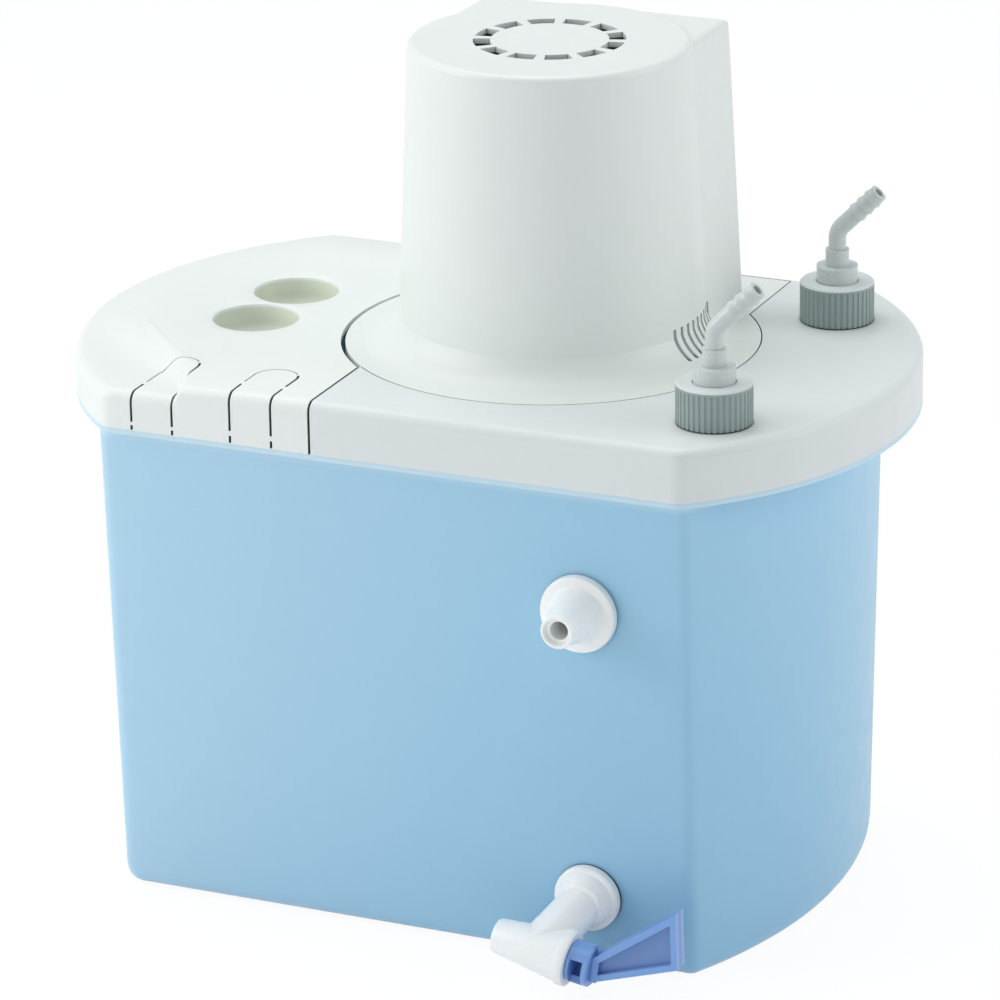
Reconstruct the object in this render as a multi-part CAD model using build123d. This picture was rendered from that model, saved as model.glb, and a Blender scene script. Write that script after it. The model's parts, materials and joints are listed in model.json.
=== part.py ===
from build123d import *
import os
from math import cos, pi, radians, sin, sqrt, tan

# Water-circulating vacuum aspirator: a tank, a two-part lid, a motor cover with the pump unit
# hanging under it, two suction ports, an overflow nozzle and a drain cock. Millimetres, +Z up.
# The origin is the centre of the tank's base; the straight front faces -Y.

# Lid and tank
lid_half_length = 201.0
lid_straight_half = 141.0
lid_half_depth = 126.5
lid_top = 264.0
lid_wall = 3.0
skirt_height = 25.0
lid_edge_radius = 5.0
lid_corner_radius = 12.0
lip_thickness = 2.5
tank_half_length = 173.0
tank_straight_half = 143.0
tank_half_depth = 114.5
tank_wall = 3.0
tank_floor = 4.0
tank_draft = 2.3
tank_edge_radius = 11.0
tank_corner_radius = 13.0
tank_height = lid_top - skirt_height

# Split between the lift-off left lid and the fixed deck
seam_x = -41.3
seam_gap = 1.2
ring_gap = 2.2

# Lowered corner of the left lid
shelf_drop = 10.0
shelf_slope = 5.0
shelf_bow = ((-106.0, -126.0), (-111.0, -108.0), (-131.0, -79.0), (-170.0, -35.0), (-201.0, 4.0))
shelf_margin = 15.0

# Finger cups and knock-out tabs of the left lid
cup_radius = 20.6
cup_depth = 12.0
cup_wall = 2.2
cup_x = -118.2
cup_ys = (-22.7, 22.0)
cup_corner_radius = 4.0
tab_centres = (-122.1, -71.2)
tab_width = 21.0
tab_length = 39.0
tab_cut = 1.3
tab_dash = 5.0
tab_dashes = 3
tab_foot = 3.0

# Motor cover
pump_x = 25.5
pump_y = 2.0
cover_ring_radius = 98.0
cover_foot_radius = 73.0
cover_height = 145.0
cover_draft = 2.72
cover_wall = 2.5
cover_box_half = 69.0
cover_box_back = 73.8
cover_box_drop = 1.4
cover_box_corner = 6.0
cover_rim_radius = 3.0
flare_radius = 19.0
flare_sink = 1.5
flange_thickness = 3.0
tongue_half = 74.0
tongue_end = 121.0
flange_gap = 0.6
vent_outer_radius = 35.6
vent_inner_radius = 27.6
vent_count = 12
vent_span = 22.0
louvre_count = 9
louvre_pitch = 5.5
louvre_width = 2.2
louvre_start_y = -17.0
louvre_near = 60.0
louvre_reach = 79.0
louvre_low = 3.0
louvre_high = 17.5
cover_screw_radius = 82.0
cover_screw_angles = (35.0, 145.0, 215.0, 325.0)

# Deck
deck_floor = 4.0
deck_ledge = 3.0
motor_bore_radius = 31.0

# Motor and shaft
plate_radius = 62.0
plate_thickness = 4.0
motor_radius = 50.0
motor_height = 84.0
rib_count = 20
rib_height = 3.0
rib_width = 2.4
bell_height = 9.0
bell_radius = 46.0
shaft_radius = 6.0
running_clearance = 0.05
shaft_free = 1.5
bearing_radius = 16.0
bearing_width = 10.0
fan_radius = 44.0
fan_height = 16.0
fan_hub_radius = 11.0
fan_blades = 8
fan_gap = 5.0
motor_screw_radius = 56.0
motor_screw_angles = (45.0, 135.0, 225.0, 315.0)
screw_radius = 2.0
screw_head_radius = 3.8
screw_head_height = 2.4
screw_slack = 0.2

# Electrical pieces in the rear box
capacitor_radius = 7.5
capacitor_length = 52.0
capacitor_x = -38.0
capacitor_y = 59.5
terminal_x = 42.0
terminal_y = 62.0
terminal_size = (24.0, 10.0, 14.0)
terminal_ways = 3
switch_x = -30.0
switch_height = 76.0
switch_width = 14.0
switch_length = 21.0
switch_depth = 16.0
bezel_border = 2.0
bezel_proud = 1.6
rocker_angle = 9.0
rocker_sink = 1.0
pivot_radius = 1.5
rocker_clearance = 0.4
inlet_x = 34.0
inlet_height = 24.0
inlet_radius = 7.0
inlet_bore = 3.8
inlet_flange_radius = 10.0
rear_seat_radius = 1.6

# Pump
column_radius = 22.0
column_wall = 4.0
column_flange_radius = 44.0
column_flange = 5.0
column_slot_width = 9.0
column_slot_height = 26.0
column_slot_low = 190.0
pump_base = 26.0
pump_height = 40.0
pump_radius = 46.0
pump_wall = 4.0
pump_lid_thickness = 4.0
pump_screw = 1.2
pump_screw_angles = (60.0, 180.0, 240.0, 120.0)
volute_shift = 24.0
intake_radius = 17.0
impeller_radius = 34.0
impeller_height = 16.0
impeller_disc = 3.0
impeller_vanes = 6
impeller_vane = 2.4
impeller_gap = 3.0
strainer_radius = 27.0
strainer_height = 17.0
strainer_wall = 2.0
strainer_slots = 16
slinger_radius = 15.0
slinger_thickness = 3.0
slinger_z = 238.0

# Water line from the pump to the ejectors
pipe_radius = 12.0
pipe_bore = 9.0
spigot_reach = 62.0
riser_x = 103.0
riser_bend = 20.0
riser_socket = 3.0
riser_socket_length = 12.0
header_z = 222.0
header_radius = 11.0
header_bore = 8.0

# Suction ports and ejectors
port_x = 140.8
port_ys = (-83.0, 75.0)
port_names = ("front", "rear")
cap_radius = 17.65
cap_height = 18.9
cap_bore = 14.4
cap_lift = 0.5
cap_ribs = 40
cap_rib_depth = 0.5
socket_radius = 14.0
socket_bore = 7.0
socket_height = 13.0
socket_flange_radius = 15.6
socket_flange = 2.0
socket_below = 22.0
socket_below_radius = 11.0
socket_hole_gap = 0.3
socket_nut_radius = 16.0
socket_nut_height = 6.0
valve_chamber_radius = 11.0
valve_chamber_depth = 6.0
valve_disc_radius = 10.4
valve_disc_height = 2.0
valve_travel = 3.0
seal_radius = 13.0
seal_bore = 8.0
seal_height = 2.0
barb_flange = 2.2
barb_flange_radius = 13.4
cap_plate = cap_lift + cap_height - socket_height - seal_height - barb_flange
hub_radius = 9.8
hub_height = 7.6
collar_radius = 5.6
collar_height = 8.0
stem_radius = 4.2
hose_bore = 2.6
elbow_height = 24.5
elbow_bend = 9.0
elbow_tilt = 45.0
nozzle_length = 28.5
barb_radius = 4.9
barb_tip_radius = 3.9
barb_count = 3
barb_pitch = 5.0
barb_yaw = 6.0
hub_clearance = 0.4
ejector_radius = 17.0
ejector_chamber = 11.0
ejector_low = 150.0
ejector_high = 204.0
branch_z = 172.0
branch_radius = 8.0
branch_bore = 5.0
branch_reach = 21.0
jet_orifice = 2.6
jet_height = 26.0
diffuser_low = 62.0
diffuser_top_radius = 11.0
diffuser_mid_radius = 8.0
diffuser_throat = 4.0
diffuser_mouth = 6.2

# Overflow nozzle
overflow_x = 91.0
overflow_z = 179.0
overflow_flange_radius = 18.4
overflow_flange = 4.0
overflow_boss_radius = 15.2
overflow_radius = 7.8
overflow_bore = 5.6
overflow_reach = 27.0
fitting_thread_radius = 10.5
fitting_thread_reach = 12.0
fitting_nut_radius = 17.0
fitting_nut_height = 6.0
gasket_radius = 16.0
gasket_thickness = 1.5

# Drain cock
drain_x = 91.5
drain_z = 36.0
drain_flange_radius = 16.0
drain_flange = 4.0
drain_dome_radius = 13.4
barrel_left = (57.0, -146.0, 23.2)
barrel_tilt = 9.0
barrel_length = 34.0
barrel_small = 8.4
barrel_large = 10.4
barrel_collar = 11.4
barrel_collar_length = 4.5
plug_small = 6.0
plug_large = 8.4
plug_start = 11.0
plug_clearance = 0.06
plug_bore = 3.6
outlet_bore = 5.2
neck_start_radius = 11.0
neck_end_radius = 8.8
neck_bore = 4.2
neck_meets = 23.0
lever_gap = 0.6
lever_hub_radius = 9.6
lever_hub_length = 8.0
lever_border = 2.2
lever_thickness = 9.0
lever_web = 2.6
lever_outline = ((50.5, -5.0), (91.0, 13.0), (86.0, 43.0), (55.5, 17.5), (50.0, 8.5))


def at(x, y, z):
    return Pos(x, y, z)


def rod(x, y, z_low, z_high, radius):
    """A vertical cylinder between two heights."""
    height = z_high - z_low
    return at(x, y, z_low + height / 2) * Cylinder(radius, height)


def tube(x, y, z_low, z_high, radius, bore):
    return rod(x, y, z_low, z_high, radius) - rod(x, y, z_low - 1, z_high + 1, bore)


def cone(x, y, z_low, z_high, radius_low, radius_high):
    height = z_high - z_low
    return at(x, y, z_low + height / 2) * Cone(radius_low, radius_high, height)


def front_rod(x, y_near, y_far, z, radius):
    """A cylinder along Y between two depths."""
    length = y_far - y_near
    return at(x, y_near + length / 2, z) * Rot(90, 0, 0) * Cylinder(radius, length)


def side_rod(x_low, x_high, y, z, radius):
    """A cylinder along X between two places."""
    length = x_high - x_low
    return at(x_low + length / 2, y, z) * Rot(0, 90, 0) * Cylinder(radius, length)


def block(x_low, x_high, y_low, y_high, z_low, z_high):
    size = (x_high - x_low, y_high - y_low, z_high - z_low)
    middle = ((x_low + x_high) / 2, (y_low + y_high) / 2, (z_low + z_high) / 2)
    return Pos(*middle) * Box(*size)


def around(radius, angle, x=pump_x, y=pump_y):
    return x + radius * cos(radians(angle)), y + radius * sin(radians(angle))


def bowed_outline(half_length, straight_half, half_depth, corner_radius):
    """Plan with a straight front and back and bowed ends."""
    front = Line((-straight_half, -half_depth), (straight_half, -half_depth))
    right = ThreePointArc((straight_half, -half_depth), (half_length, 0), (straight_half, half_depth))
    back = Line((straight_half, half_depth), (-straight_half, half_depth))
    left = ThreePointArc((-straight_half, half_depth), (-half_length, 0), (-straight_half, -half_depth))
    plan = make_face([front, right, back, left])
    return fillet(plan.vertices(), corner_radius)


def keyhole(ring_radius, half_width, end_y):
    """Plan of the cover's foot: a ring with a tongue to the rear."""
    ring = at(pump_x, pump_y, 0) * Circle(ring_radius)
    tongue_depth = end_y - pump_y
    tongue = at(pump_x, pump_y + tongue_depth / 2, 0) * Rectangle(2 * half_width, tongue_depth)
    return ring + tongue


def raise_plan(plan, z_low, z_high):
    return at(0, 0, z_low) * extrude(plan, z_high - z_low)


# Tank
def tank_body(inset, z_low):
    plan = bowed_outline(tank_half_length - inset, tank_straight_half - inset / 2,
                         tank_half_depth - inset, tank_corner_radius - inset)
    body = extrude(plan, tank_height, taper=-tank_draft)
    body = fillet(body.faces().sort_by(Axis.Z)[0].edges(), tank_edge_radius - inset)
    return at(0, 0, z_low) * body


def lip_plan():
    return bowed_outline(lid_half_length, lid_straight_half, lid_half_depth, lid_corner_radius)


def make_tank():
    lip = raise_plan(lip_plan(), tank_height - lip_thickness, tank_height)
    outer = tank_body(0, 0) & block(-lid_half_length, lid_half_length, -lid_half_depth,
                                    lid_half_depth, 0, tank_height)
    shell = outer + lip - tank_body(tank_wall, tank_floor)
    holes = front_rod(overflow_x, -lid_half_depth, 0, overflow_z, fitting_thread_radius)
    holes += front_rod(drain_x, -lid_half_depth, 0, drain_z, fitting_thread_radius)
    return shell - holes


# Lid
def lid_slab(inset, top):
    """The lid's plan raised to a top, with a rounded rim on the outside."""
    plan = bowed_outline(lid_half_length - inset, lid_straight_half - inset / 2,
                         lid_half_depth - inset, lid_corner_radius - inset)
    slab = raise_plan(plan, tank_height, top - inset)
    if inset:
        return slab
    return fillet(slab.faces().sort_by(Axis.Z)[-1].edges(), lid_edge_radius)


def shelf_plan(spread, z):
    """The region of the lowered corner at a height, its bowed side pushed inward by a spread."""
    left = -lid_half_length - shelf_margin
    front = -lid_half_depth - shelf_margin
    bow = [(x + spread, y + spread) for x, y in shelf_bow]
    start, *middle, end = bow
    edge = Spline((start[0], front), *middle, (left, end[1]))
    sides = Polyline((left, end[1]), (left, front), (start[0], front))
    return Pos(0, 0, z) * make_face([edge, sides])


def shelf_cutter(inset):
    """The solid taken off the left lid's front corner, with a sloping inner side."""
    low = lid_top - inset - shelf_drop
    return loft([shelf_plan(inset, low), shelf_plan(inset + shelf_slope, low + shelf_drop + 1)])


def lid_shell(lowered):
    outer = lid_slab(0, lid_top)
    inner = lid_slab(lid_wall, lid_top)
    if lowered:
        outer = (outer - shelf_cutter(0)) + lid_slab(0, lid_top - shelf_drop)
        inner = (inner - shelf_cutter(lid_wall)) + lid_slab(lid_wall, lid_top - shelf_drop)
    return outer - inner


def tab_cuts():
    """Dashed cuts round each knock-out tab, down the skirt and on the top."""
    cuts = []
    front = -lid_half_depth
    skirt_back = front + lid_wall + 1
    for centre in tab_centres:
        for side in (-1, 1):
            x_low = centre + side * tab_width / 2 - tab_cut / 2
            x_high = x_low + tab_cut
            cuts.append(block(x_low, x_high, front - 1, skirt_back, tank_height - 1, tank_height + tab_foot))
            cuts.append(block(x_low, x_high, front - 1, skirt_back, tank_height + 2 * tab_foot,
                              lid_top - shelf_drop - lid_edge_radius))
            for step in range(tab_dashes):
                y_low = front + lid_edge_radius + tab_dash / 2 + step * 2 * tab_dash
                cuts.append(block(x_low, x_high, y_low, y_low + tab_dash, tank_height + lid_wall, lid_top + 1))
    return cuts


def make_left_lid():
    left_side = block(-lid_half_length - 1, seam_x - seam_gap / 2, -lid_half_depth - 1,
                      lid_half_depth + 1, tank_height - 1, lid_top + 1)
    foot = keyhole(cover_ring_radius + ring_gap, tongue_half + ring_gap, lid_half_depth + 2)
    lid = (lid_shell(True) & left_side) - raise_plan(foot, tank_height - 1, lid_top + 1)
    for y in cup_ys:
        lid += rod(cup_x, y, lid_top - cup_depth - cup_wall, lid_top - lid_wall / 2, cup_radius + cup_wall)
    for y in cup_ys:
        hollow = rod(cup_x, y, lid_top - cup_depth, lid_top + 1, cup_radius)
        lid -= fillet(hollow.faces().sort_by(Axis.Z)[0].edges(), cup_corner_radius)
    for cut in tab_cuts():
        lid -= cut
    return lid


def make_deck():
    """The fixed right-hand lid, with a sunk floor that carries the motor and its cover."""
    reach = (-lid_half_depth - 1, lid_half_depth + 1, tank_height - 1, lid_top + 1)
    right_side = block(seam_x + seam_gap / 2, lid_half_length + 1, *reach)
    sunk = keyhole(cover_ring_radius + flange_gap, tongue_half + flange_gap, tongue_end + flange_gap)
    floor_plan = keyhole(cover_ring_radius + deck_ledge, tongue_half + deck_ledge, lid_half_depth - lid_wall)
    floor_top = lid_top - flange_thickness
    floor = raise_plan(floor_plan, floor_top - deck_floor, floor_top)
    left_edge = rod(pump_x, pump_y, tank_height - 1, lid_top + 1, cover_ring_radius) + right_side
    deck = (lid_shell(False) & right_side) + (floor & left_edge)
    deck -= raise_plan(sunk, floor_top, lid_top + 1)
    deck -= rod(pump_x, pump_y, tank_height - 1, lid_top, motor_bore_radius)
    for y in port_ys:
        deck -= rod(port_x, y, tank_height - 1, lid_top + 1, socket_below_radius + socket_hole_gap)
    for hole in screw_places(cover_screw_radius, cover_screw_angles) + motor_screw_places():
        deck -= rod(*hole, floor_top - deck_floor - 1, floor_top + 1, screw_radius + screw_slack)
    return deck


def screw_places(radius, angles):
    return [around(radius, angle) for angle in angles]


def motor_screw_places():
    return screw_places(motor_screw_radius, motor_screw_angles)


# Motor cover
def cover_body(inset):
    """The round tower and its rear box, drawn in by their draft."""
    base = lid_top
    tower = extrude(Circle(cover_foot_radius - inset), cover_height - inset, taper=cover_draft)
    depth = cover_box_back - inset
    box_plan = Pos(0, depth / 2) * Rectangle(2 * (cover_box_half - inset), depth)
    back_corners = box_plan.vertices().sort_by(Axis.Y)[-2:]
    box_plan = fillet(back_corners, cover_box_corner - inset)
    box_tower = extrude(box_plan, cover_height - cover_box_drop - inset, taper=cover_draft)
    if not inset:
        tower = fillet(tower.faces().sort_by(Axis.Z)[-1].edges(), cover_rim_radius)
        box_tower = fillet(box_tower.faces().sort_by(Axis.Z)[-1].edges(), cover_rim_radius)
    return at(pump_x, pump_y, base) * (tower + box_tower)


def flare_solid(inset):
    """Everything under the flare's curve: a disc with a hollow-curved side."""
    centre_r = cover_foot_radius - flare_sink + flare_radius
    bend = flare_radius + inset
    wall_r = centre_r - bend
    foot_z = -inset
    knee = (centre_r - bend * cos(radians(45)), flare_radius - bend * sin(radians(45)))
    curve = ThreePointArc((wall_r, flare_radius), knee, (centre_r, foot_z))
    rest = Polyline((centre_r, foot_z), (centre_r, -flange_thickness), (0, -flange_thickness),
                    (0, flare_radius), (wall_r, flare_radius))
    profile = Plane.XZ * make_face([curve, rest])
    return at(pump_x, pump_y, lid_top) * revolve(profile, Axis.Z)


def vent_slots():
    slots = []
    for index in range(vent_count):
        angle = index * 360 / vent_count
        ring = rod(pump_x, pump_y, lid_top + cover_height - 2 * cover_wall, lid_top + cover_height + 1,
                   vent_outer_radius)
        ring -= rod(pump_x, pump_y, lid_top, lid_top + cover_height + 2, vent_inner_radius)
        half = radians(vent_span / 2)
        far = 2 * vent_outer_radius
        wedge = make_face(Polyline((0, 0), (far * cos(half), -far * sin(half)),
                                   (far * cos(half), far * sin(half)), (0, 0)))
        prism = at(pump_x, pump_y, lid_top) * Rot(0, 0, angle) * extrude(wedge, cover_height + 2)
        slots.append(ring & prism)
    return slots


def louvre_slots():
    slots = []
    for index in range(louvre_count):
        y = louvre_start_y + index * louvre_pitch
        slots.append(block(pump_x + louvre_near, pump_x + louvre_reach, y - louvre_width / 2,
                           y + louvre_width / 2, lid_top + louvre_low, lid_top + louvre_high))
    return slots


def make_motor_cover():
    flange = raise_plan(keyhole(cover_ring_radius, tongue_half, tongue_end), lid_top - flange_thickness, lid_top)
    cover = cover_body(0) + flare_solid(0) + flange
    cover -= cover_body(cover_wall)
    cover -= flare_solid(cover_wall)
    half = cover_box_half - cover_wall
    cover -= block(pump_x - half, pump_x + half, pump_y, pump_y + cover_box_back - cover_wall,
                   lid_top - flange_thickness - 1, lid_top + 1)
    for slot in vent_slots() + louvre_slots():
        cover -= slot
    for place in screw_places(cover_screw_radius, cover_screw_angles):
        cover += rod(*place, lid_top - flange_thickness, lid_top, screw_head_radius)
        cover -= rod(*place, lid_top - flange_thickness - 1, lid_top - 1, screw_radius)
    switch_face = rear_face(switch_height)
    cover -= switch_block(switch_face - 4 * cover_wall, switch_face + 3, 0)
    inlet_face = rear_face(inlet_height)
    return cover - front_rod(pump_x + inlet_x, inlet_face - 4 * cover_wall, inlet_face + 3,
                             lid_top + inlet_height, inlet_radius)


# Motor
def make_motor_plate():
    low = lid_top - flange_thickness
    plate = rod(pump_x, pump_y, low, low + plate_thickness, plate_radius)
    plate -= rod(pump_x, pump_y, low - 1, low + plate_thickness + 1, shaft_radius + shaft_free)
    for place in motor_screw_places():
        plate -= rod(*place, low - 1, low + plate_thickness + 1, screw_radius + screw_slack)
    return plate


def motor_low():
    return lid_top - flange_thickness + plate_thickness


def make_motor_body():
    low = motor_low()
    high = low + motor_height
    body = rod(pump_x, pump_y, low, high, motor_radius - rib_height)
    for index in range(rib_count):
        rib = block(motor_radius - 2 * rib_height, motor_radius, -rib_width / 2, rib_width / 2, low + 6, high - 6)
        body += at(pump_x, pump_y, 0) * Rot(0, 0, index * 360 / rib_count) * rib
    body -= rod(pump_x, pump_y, low - 1, high + 1, shaft_radius + shaft_free)
    body -= rod(pump_x, pump_y, low - 1, low + bearing_width, bearing_radius)
    return body


def make_end_bell():
    low = motor_low() + motor_height
    bell = rod(pump_x, pump_y, low, low + bell_height, bell_radius)
    bell += rod(pump_x, pump_y, low + bell_height, low + bearing_width + 2, bearing_radius + 4)
    bell = fillet(bell.faces().filter_by(Axis.Z).sort_by(SortBy.AREA)[-2].outer_wire().edges(), 2)
    bell -= rod(pump_x, pump_y, low - 1, low + bearing_width, bearing_radius)
    bell -= rod(pump_x, pump_y, low, low + bearing_width + 3, shaft_radius + shaft_free)
    return bell


def make_bearing(low):
    ring = tube(pump_x, pump_y, low, low + bearing_width, bearing_radius, shaft_radius)
    groove = tube(pump_x, pump_y, low + bearing_width - 1, low + bearing_width + 1,
                  bearing_radius - 3, shaft_radius + 3)
    return ring - groove


def make_shaft():
    top = fan_low() + fan_height
    shaft = rod(pump_x, pump_y, impeller_low(), top, shaft_radius - running_clearance)
    return chamfer(shaft.faces().sort_by(Axis.Z)[-1].edges(), 0.8)


def fan_low():
    return motor_low() + motor_height + bearing_width + 2 + fan_gap


def make_fan():
    low = fan_low()
    fan = rod(pump_x, pump_y, low, low + 2, fan_radius)
    fan += rod(pump_x, pump_y, low, low + fan_height, fan_hub_radius)
    for index in range(fan_blades):
        blade = block(fan_hub_radius - 1, fan_radius, -1, 1, low, low + fan_height - 3)
        fan += at(pump_x, pump_y, 0) * Rot(0, 0, index * 360 / fan_blades) * blade
    return fan - rod(pump_x, pump_y, low - 1, low + fan_height + 1, shaft_radius - running_clearance)


def make_screws(places, head_z, tip_z, radius=screw_radius, head_radius=screw_head_radius):
    """Pan-head screws with their heads at one end, as a group of separate solids."""
    screws = []
    head_end = head_z + (screw_head_height if head_z > tip_z else -screw_head_height)
    for place in places:
        head = rod(*place, min(head_z, head_end), max(head_z, head_end), head_radius)
        shank = rod(*place, min(head_z, tip_z), max(head_z, tip_z), radius)
        screws.append((head + shank).solid())
    return Compound(children=screws)


# Electrical pieces in the rear box
def rear_face(height):
    """Depth of the cover's sloping back at a height over the lid."""
    return pump_y + cover_box_back - height * tan(radians(cover_draft))


def switch_block(front, back, border):
    x, z = pump_x + switch_x, lid_top + switch_height
    half_width, half_length = switch_width / 2 + border, switch_length / 2 + border
    return block(x - half_width, x + half_width, front, back, z - half_length, z + half_length)


def make_capacitor():
    low = lid_top - flange_thickness
    can = rod(pump_x + capacitor_x, pump_y + capacitor_y, low, low + capacitor_length, capacitor_radius)
    return fillet(can.faces().sort_by(Axis.Z)[-1].edges(), 2)


def make_terminal_block():
    length, depth, height = terminal_size
    low = lid_top - flange_thickness
    x, y = pump_x + terminal_x, pump_y + terminal_y
    terminals = block(x - length / 2, x + length / 2, y - depth / 2, y + depth / 2, low, low + height)
    pitch = length / terminal_ways
    for way in range(terminal_ways):
        centre = x - length / 2 + (way + 0.5) * pitch
        terminals -= rod(centre, y, low + height / 2, low + height + 1, screw_radius)
        terminals -= block(centre - pitch / 2 - 0.5, centre - pitch / 2 + 0.5, y - depth, y + depth,
                           low + height - 3, low + height + 1)
    return terminals


def make_switch_frame():
    face = rear_face(switch_height)
    frame = switch_block(face - 4, face + bezel_proud, bezel_border) - cover_body(0)
    frame += switch_block(face - switch_depth, face + bezel_proud, 0)
    frame -= switch_block(face - switch_depth + 2, face + bezel_proud + 1, -bezel_border)
    x, z = pump_x + switch_x, lid_top + switch_height
    return frame - side_rod(x - switch_width / 2 + 1, x + switch_width / 2 - 1, face - rocker_sink, z, pivot_radius)


def make_switch_rocker():
    face = rear_face(switch_height)
    x, z = pump_x + switch_x, lid_top + switch_height
    width = switch_width - 2 * bezel_border - 2 * rocker_clearance
    length = switch_length - 2 * bezel_border - 2 * rocker_clearance - 1
    rocker = Box(width, 2 * rocker_sink + 1, length)
    rocker = fillet(rocker.edges().filter_by(Axis.X), 1)
    rocker = at(x, face - rocker_sink, z) * Rot(rocker_angle, 0, 0) * rocker
    pivot_half = switch_width / 2 - 1 - rocker_clearance
    return rocker + side_rod(x - pivot_half, x + pivot_half, face - rocker_sink, z, pivot_radius - running_clearance)


def make_cord_inlet():
    face = rear_face(inlet_height)
    x, z = pump_x + inlet_x, lid_top + inlet_height
    gland = front_rod(x, face - 2, face + 4, z, inlet_flange_radius) - cover_body(0)
    gland += front_rod(x, face - 3 * cover_wall, face + 4, z, inlet_radius)
    gland = chamfer(gland.faces().sort_by(Axis.Y)[-1].edges(), 1)
    return gland - front_rod(x, face - 4 * cover_wall, face + 5, z, inlet_bore)


# Pump
def impeller_low():
    return pump_base + impeller_gap


def make_column():
    top = lid_top - flange_thickness - deck_floor
    low = pump_base + pump_height
    column = tube(pump_x, pump_y, low, top, column_radius, column_radius - column_wall)
    column += tube(pump_x, pump_y, top - column_flange, top, column_flange_radius + 20, column_radius - column_wall)
    column += tube(pump_x, pump_y, low, low + column_flange, pump_radius - 4, column_radius - column_wall)
    slot_y = column_radius + 1
    window = block(pump_x - column_slot_width / 2, pump_x + column_slot_width / 2, pump_y - slot_y,
                   pump_y + slot_y, column_slot_low, column_slot_low + column_slot_height)
    column -= window
    for place in motor_screw_places():
        column -= rod(*place, top - column_flange - 1, top + 1, screw_radius)
    return column


def make_pump_housing():
    low = pump_base + pump_lid_thickness
    high = pump_base + pump_height
    housing = rod(pump_x, pump_y, low, high, pump_radius)
    housing += side_rod(pump_x, pump_x + spigot_reach, pump_y - volute_shift, (low + high) / 2, pipe_radius)
    chamber = rod(pump_x, pump_y, low - 1, high - pump_wall, pump_radius - pump_wall)
    housing -= chamber
    housing -= side_rod(pump_x + impeller_radius, pump_x + spigot_reach + 1, pump_y - volute_shift,
                        (low + high) / 2, pipe_bore)
    housing -= rod(pump_x, pump_y, low, high + 1, shaft_radius + shaft_free)
    for place in screw_places(pump_radius - pump_wall / 2, pump_screw_angles):
        housing -= rod(*place, low - 1, low + 8, pump_screw)
    return housing


def make_pump_lid():
    plate = tube(pump_x, pump_y, pump_base, pump_base + pump_lid_thickness, pump_radius, intake_radius)
    for place in screw_places(pump_radius - pump_wall / 2, pump_screw_angles):
        plate -= rod(*place, pump_base - 1, pump_base + pump_lid_thickness + 1, pump_screw)
    return plate


def make_impeller():
    low = pump_base + pump_lid_thickness + impeller_gap / 2
    wheel = rod(pump_x, pump_y, low + impeller_height - impeller_disc, low + impeller_height, impeller_radius)
    wheel += rod(pump_x, pump_y, low, low + impeller_height, shaft_radius + 4)
    outer, inner = impeller_radius, shaft_radius + 3
    curve = ThreePointArc((inner, 0), ((inner + outer) / 2, -6), (outer - 1, -17))
    vane_plan = trace(curve, impeller_vane)
    for index in range(impeller_vanes):
        vane = at(pump_x, pump_y, low) * Rot(0, 0, index * 360 / impeller_vanes) * extrude(vane_plan, impeller_height)
        wheel += vane
    return wheel - rod(pump_x, pump_y, low - 1, low + impeller_height + 1, shaft_radius - running_clearance)


def make_strainer():
    high = pump_base
    low = high - strainer_height
    cup = rod(pump_x, pump_y, low, high, strainer_radius)
    cup -= rod(pump_x, pump_y, low + strainer_wall, high + 1, strainer_radius - strainer_wall)
    for index in range(strainer_slots // 2):
        slot = block(-strainer_radius - 1, strainer_radius + 1, -1.2, 1.2, low + 4, high - 4)
        cup -= at(pump_x, pump_y, 0) * Rot(0, 0, index * 360 / strainer_slots) * slot
    return cup


def make_slinger():
    return tube(pump_x, pump_y, slinger_z, slinger_z + slinger_thickness, slinger_radius,
                shaft_radius - running_clearance)


# Water line
def line_y():
    return pump_y - volute_shift


def make_riser():
    z_low = pump_base + (pump_lid_thickness + pump_height) / 2
    start_x = pump_x + spigot_reach
    path = FilletPolyline((start_x, line_y(), z_low), (riser_x, line_y(), z_low),
                          (riser_x, line_y(), header_z - header_radius + 2), radius=riser_x - start_x - 1)
    section = Plane(origin=path @ 0, z_dir=path % 0)
    pipe = sweep(section * Circle(pipe_radius), path=path)
    pipe += side_rod(start_x - riser_socket_length, start_x + riser_socket, line_y(), z_low,
                     pipe_radius + riser_socket)
    bore = sweep(section * Circle(pipe_bore), path=path)
    pipe -= bore
    return pipe - side_rod(start_x - riser_socket_length - 1, start_x, line_y(), z_low, pipe_radius)


def make_header():
    y_front, y_rear = port_ys
    header = front_rod(riser_x, y_front - header_radius, y_rear + header_radius, header_z, header_radius)
    bore = front_rod(riser_x, y_front - header_bore, y_rear + header_bore, header_z, header_bore)
    for y in port_ys:
        header += rod(riser_x, y, ejector_high, header_z, ejector_radius - 3)
        bore += rod(riser_x, y, ejector_high - 1, header_z, header_bore - 1)
    collar_low = header_z - header_radius - riser_socket_length
    header += rod(riser_x, line_y(), collar_low, header_z, pipe_radius + riser_socket)
    bore += rod(riser_x, line_y(), header_z - header_radius, header_z, pipe_bore)
    bore += rod(riser_x, line_y(), collar_low - 1, header_z - header_radius + 2, pipe_radius)
    return header - bore


# Ejectors and suction ports
def make_ejector(y):
    body = rod(riser_x, y, ejector_low, ejector_high, ejector_radius)
    body += side_rod(riser_x, riser_x + branch_reach, y, branch_z, branch_radius)
    body -= rod(riser_x, y, ejector_low + 8, ejector_high + 1, ejector_chamber)
    body -= rod(riser_x, y, ejector_low - 1, ejector_low + 9, diffuser_mid_radius)
    return body - side_rod(riser_x + 1, riser_x + branch_reach + 1, y, branch_z, branch_bore)


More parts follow.
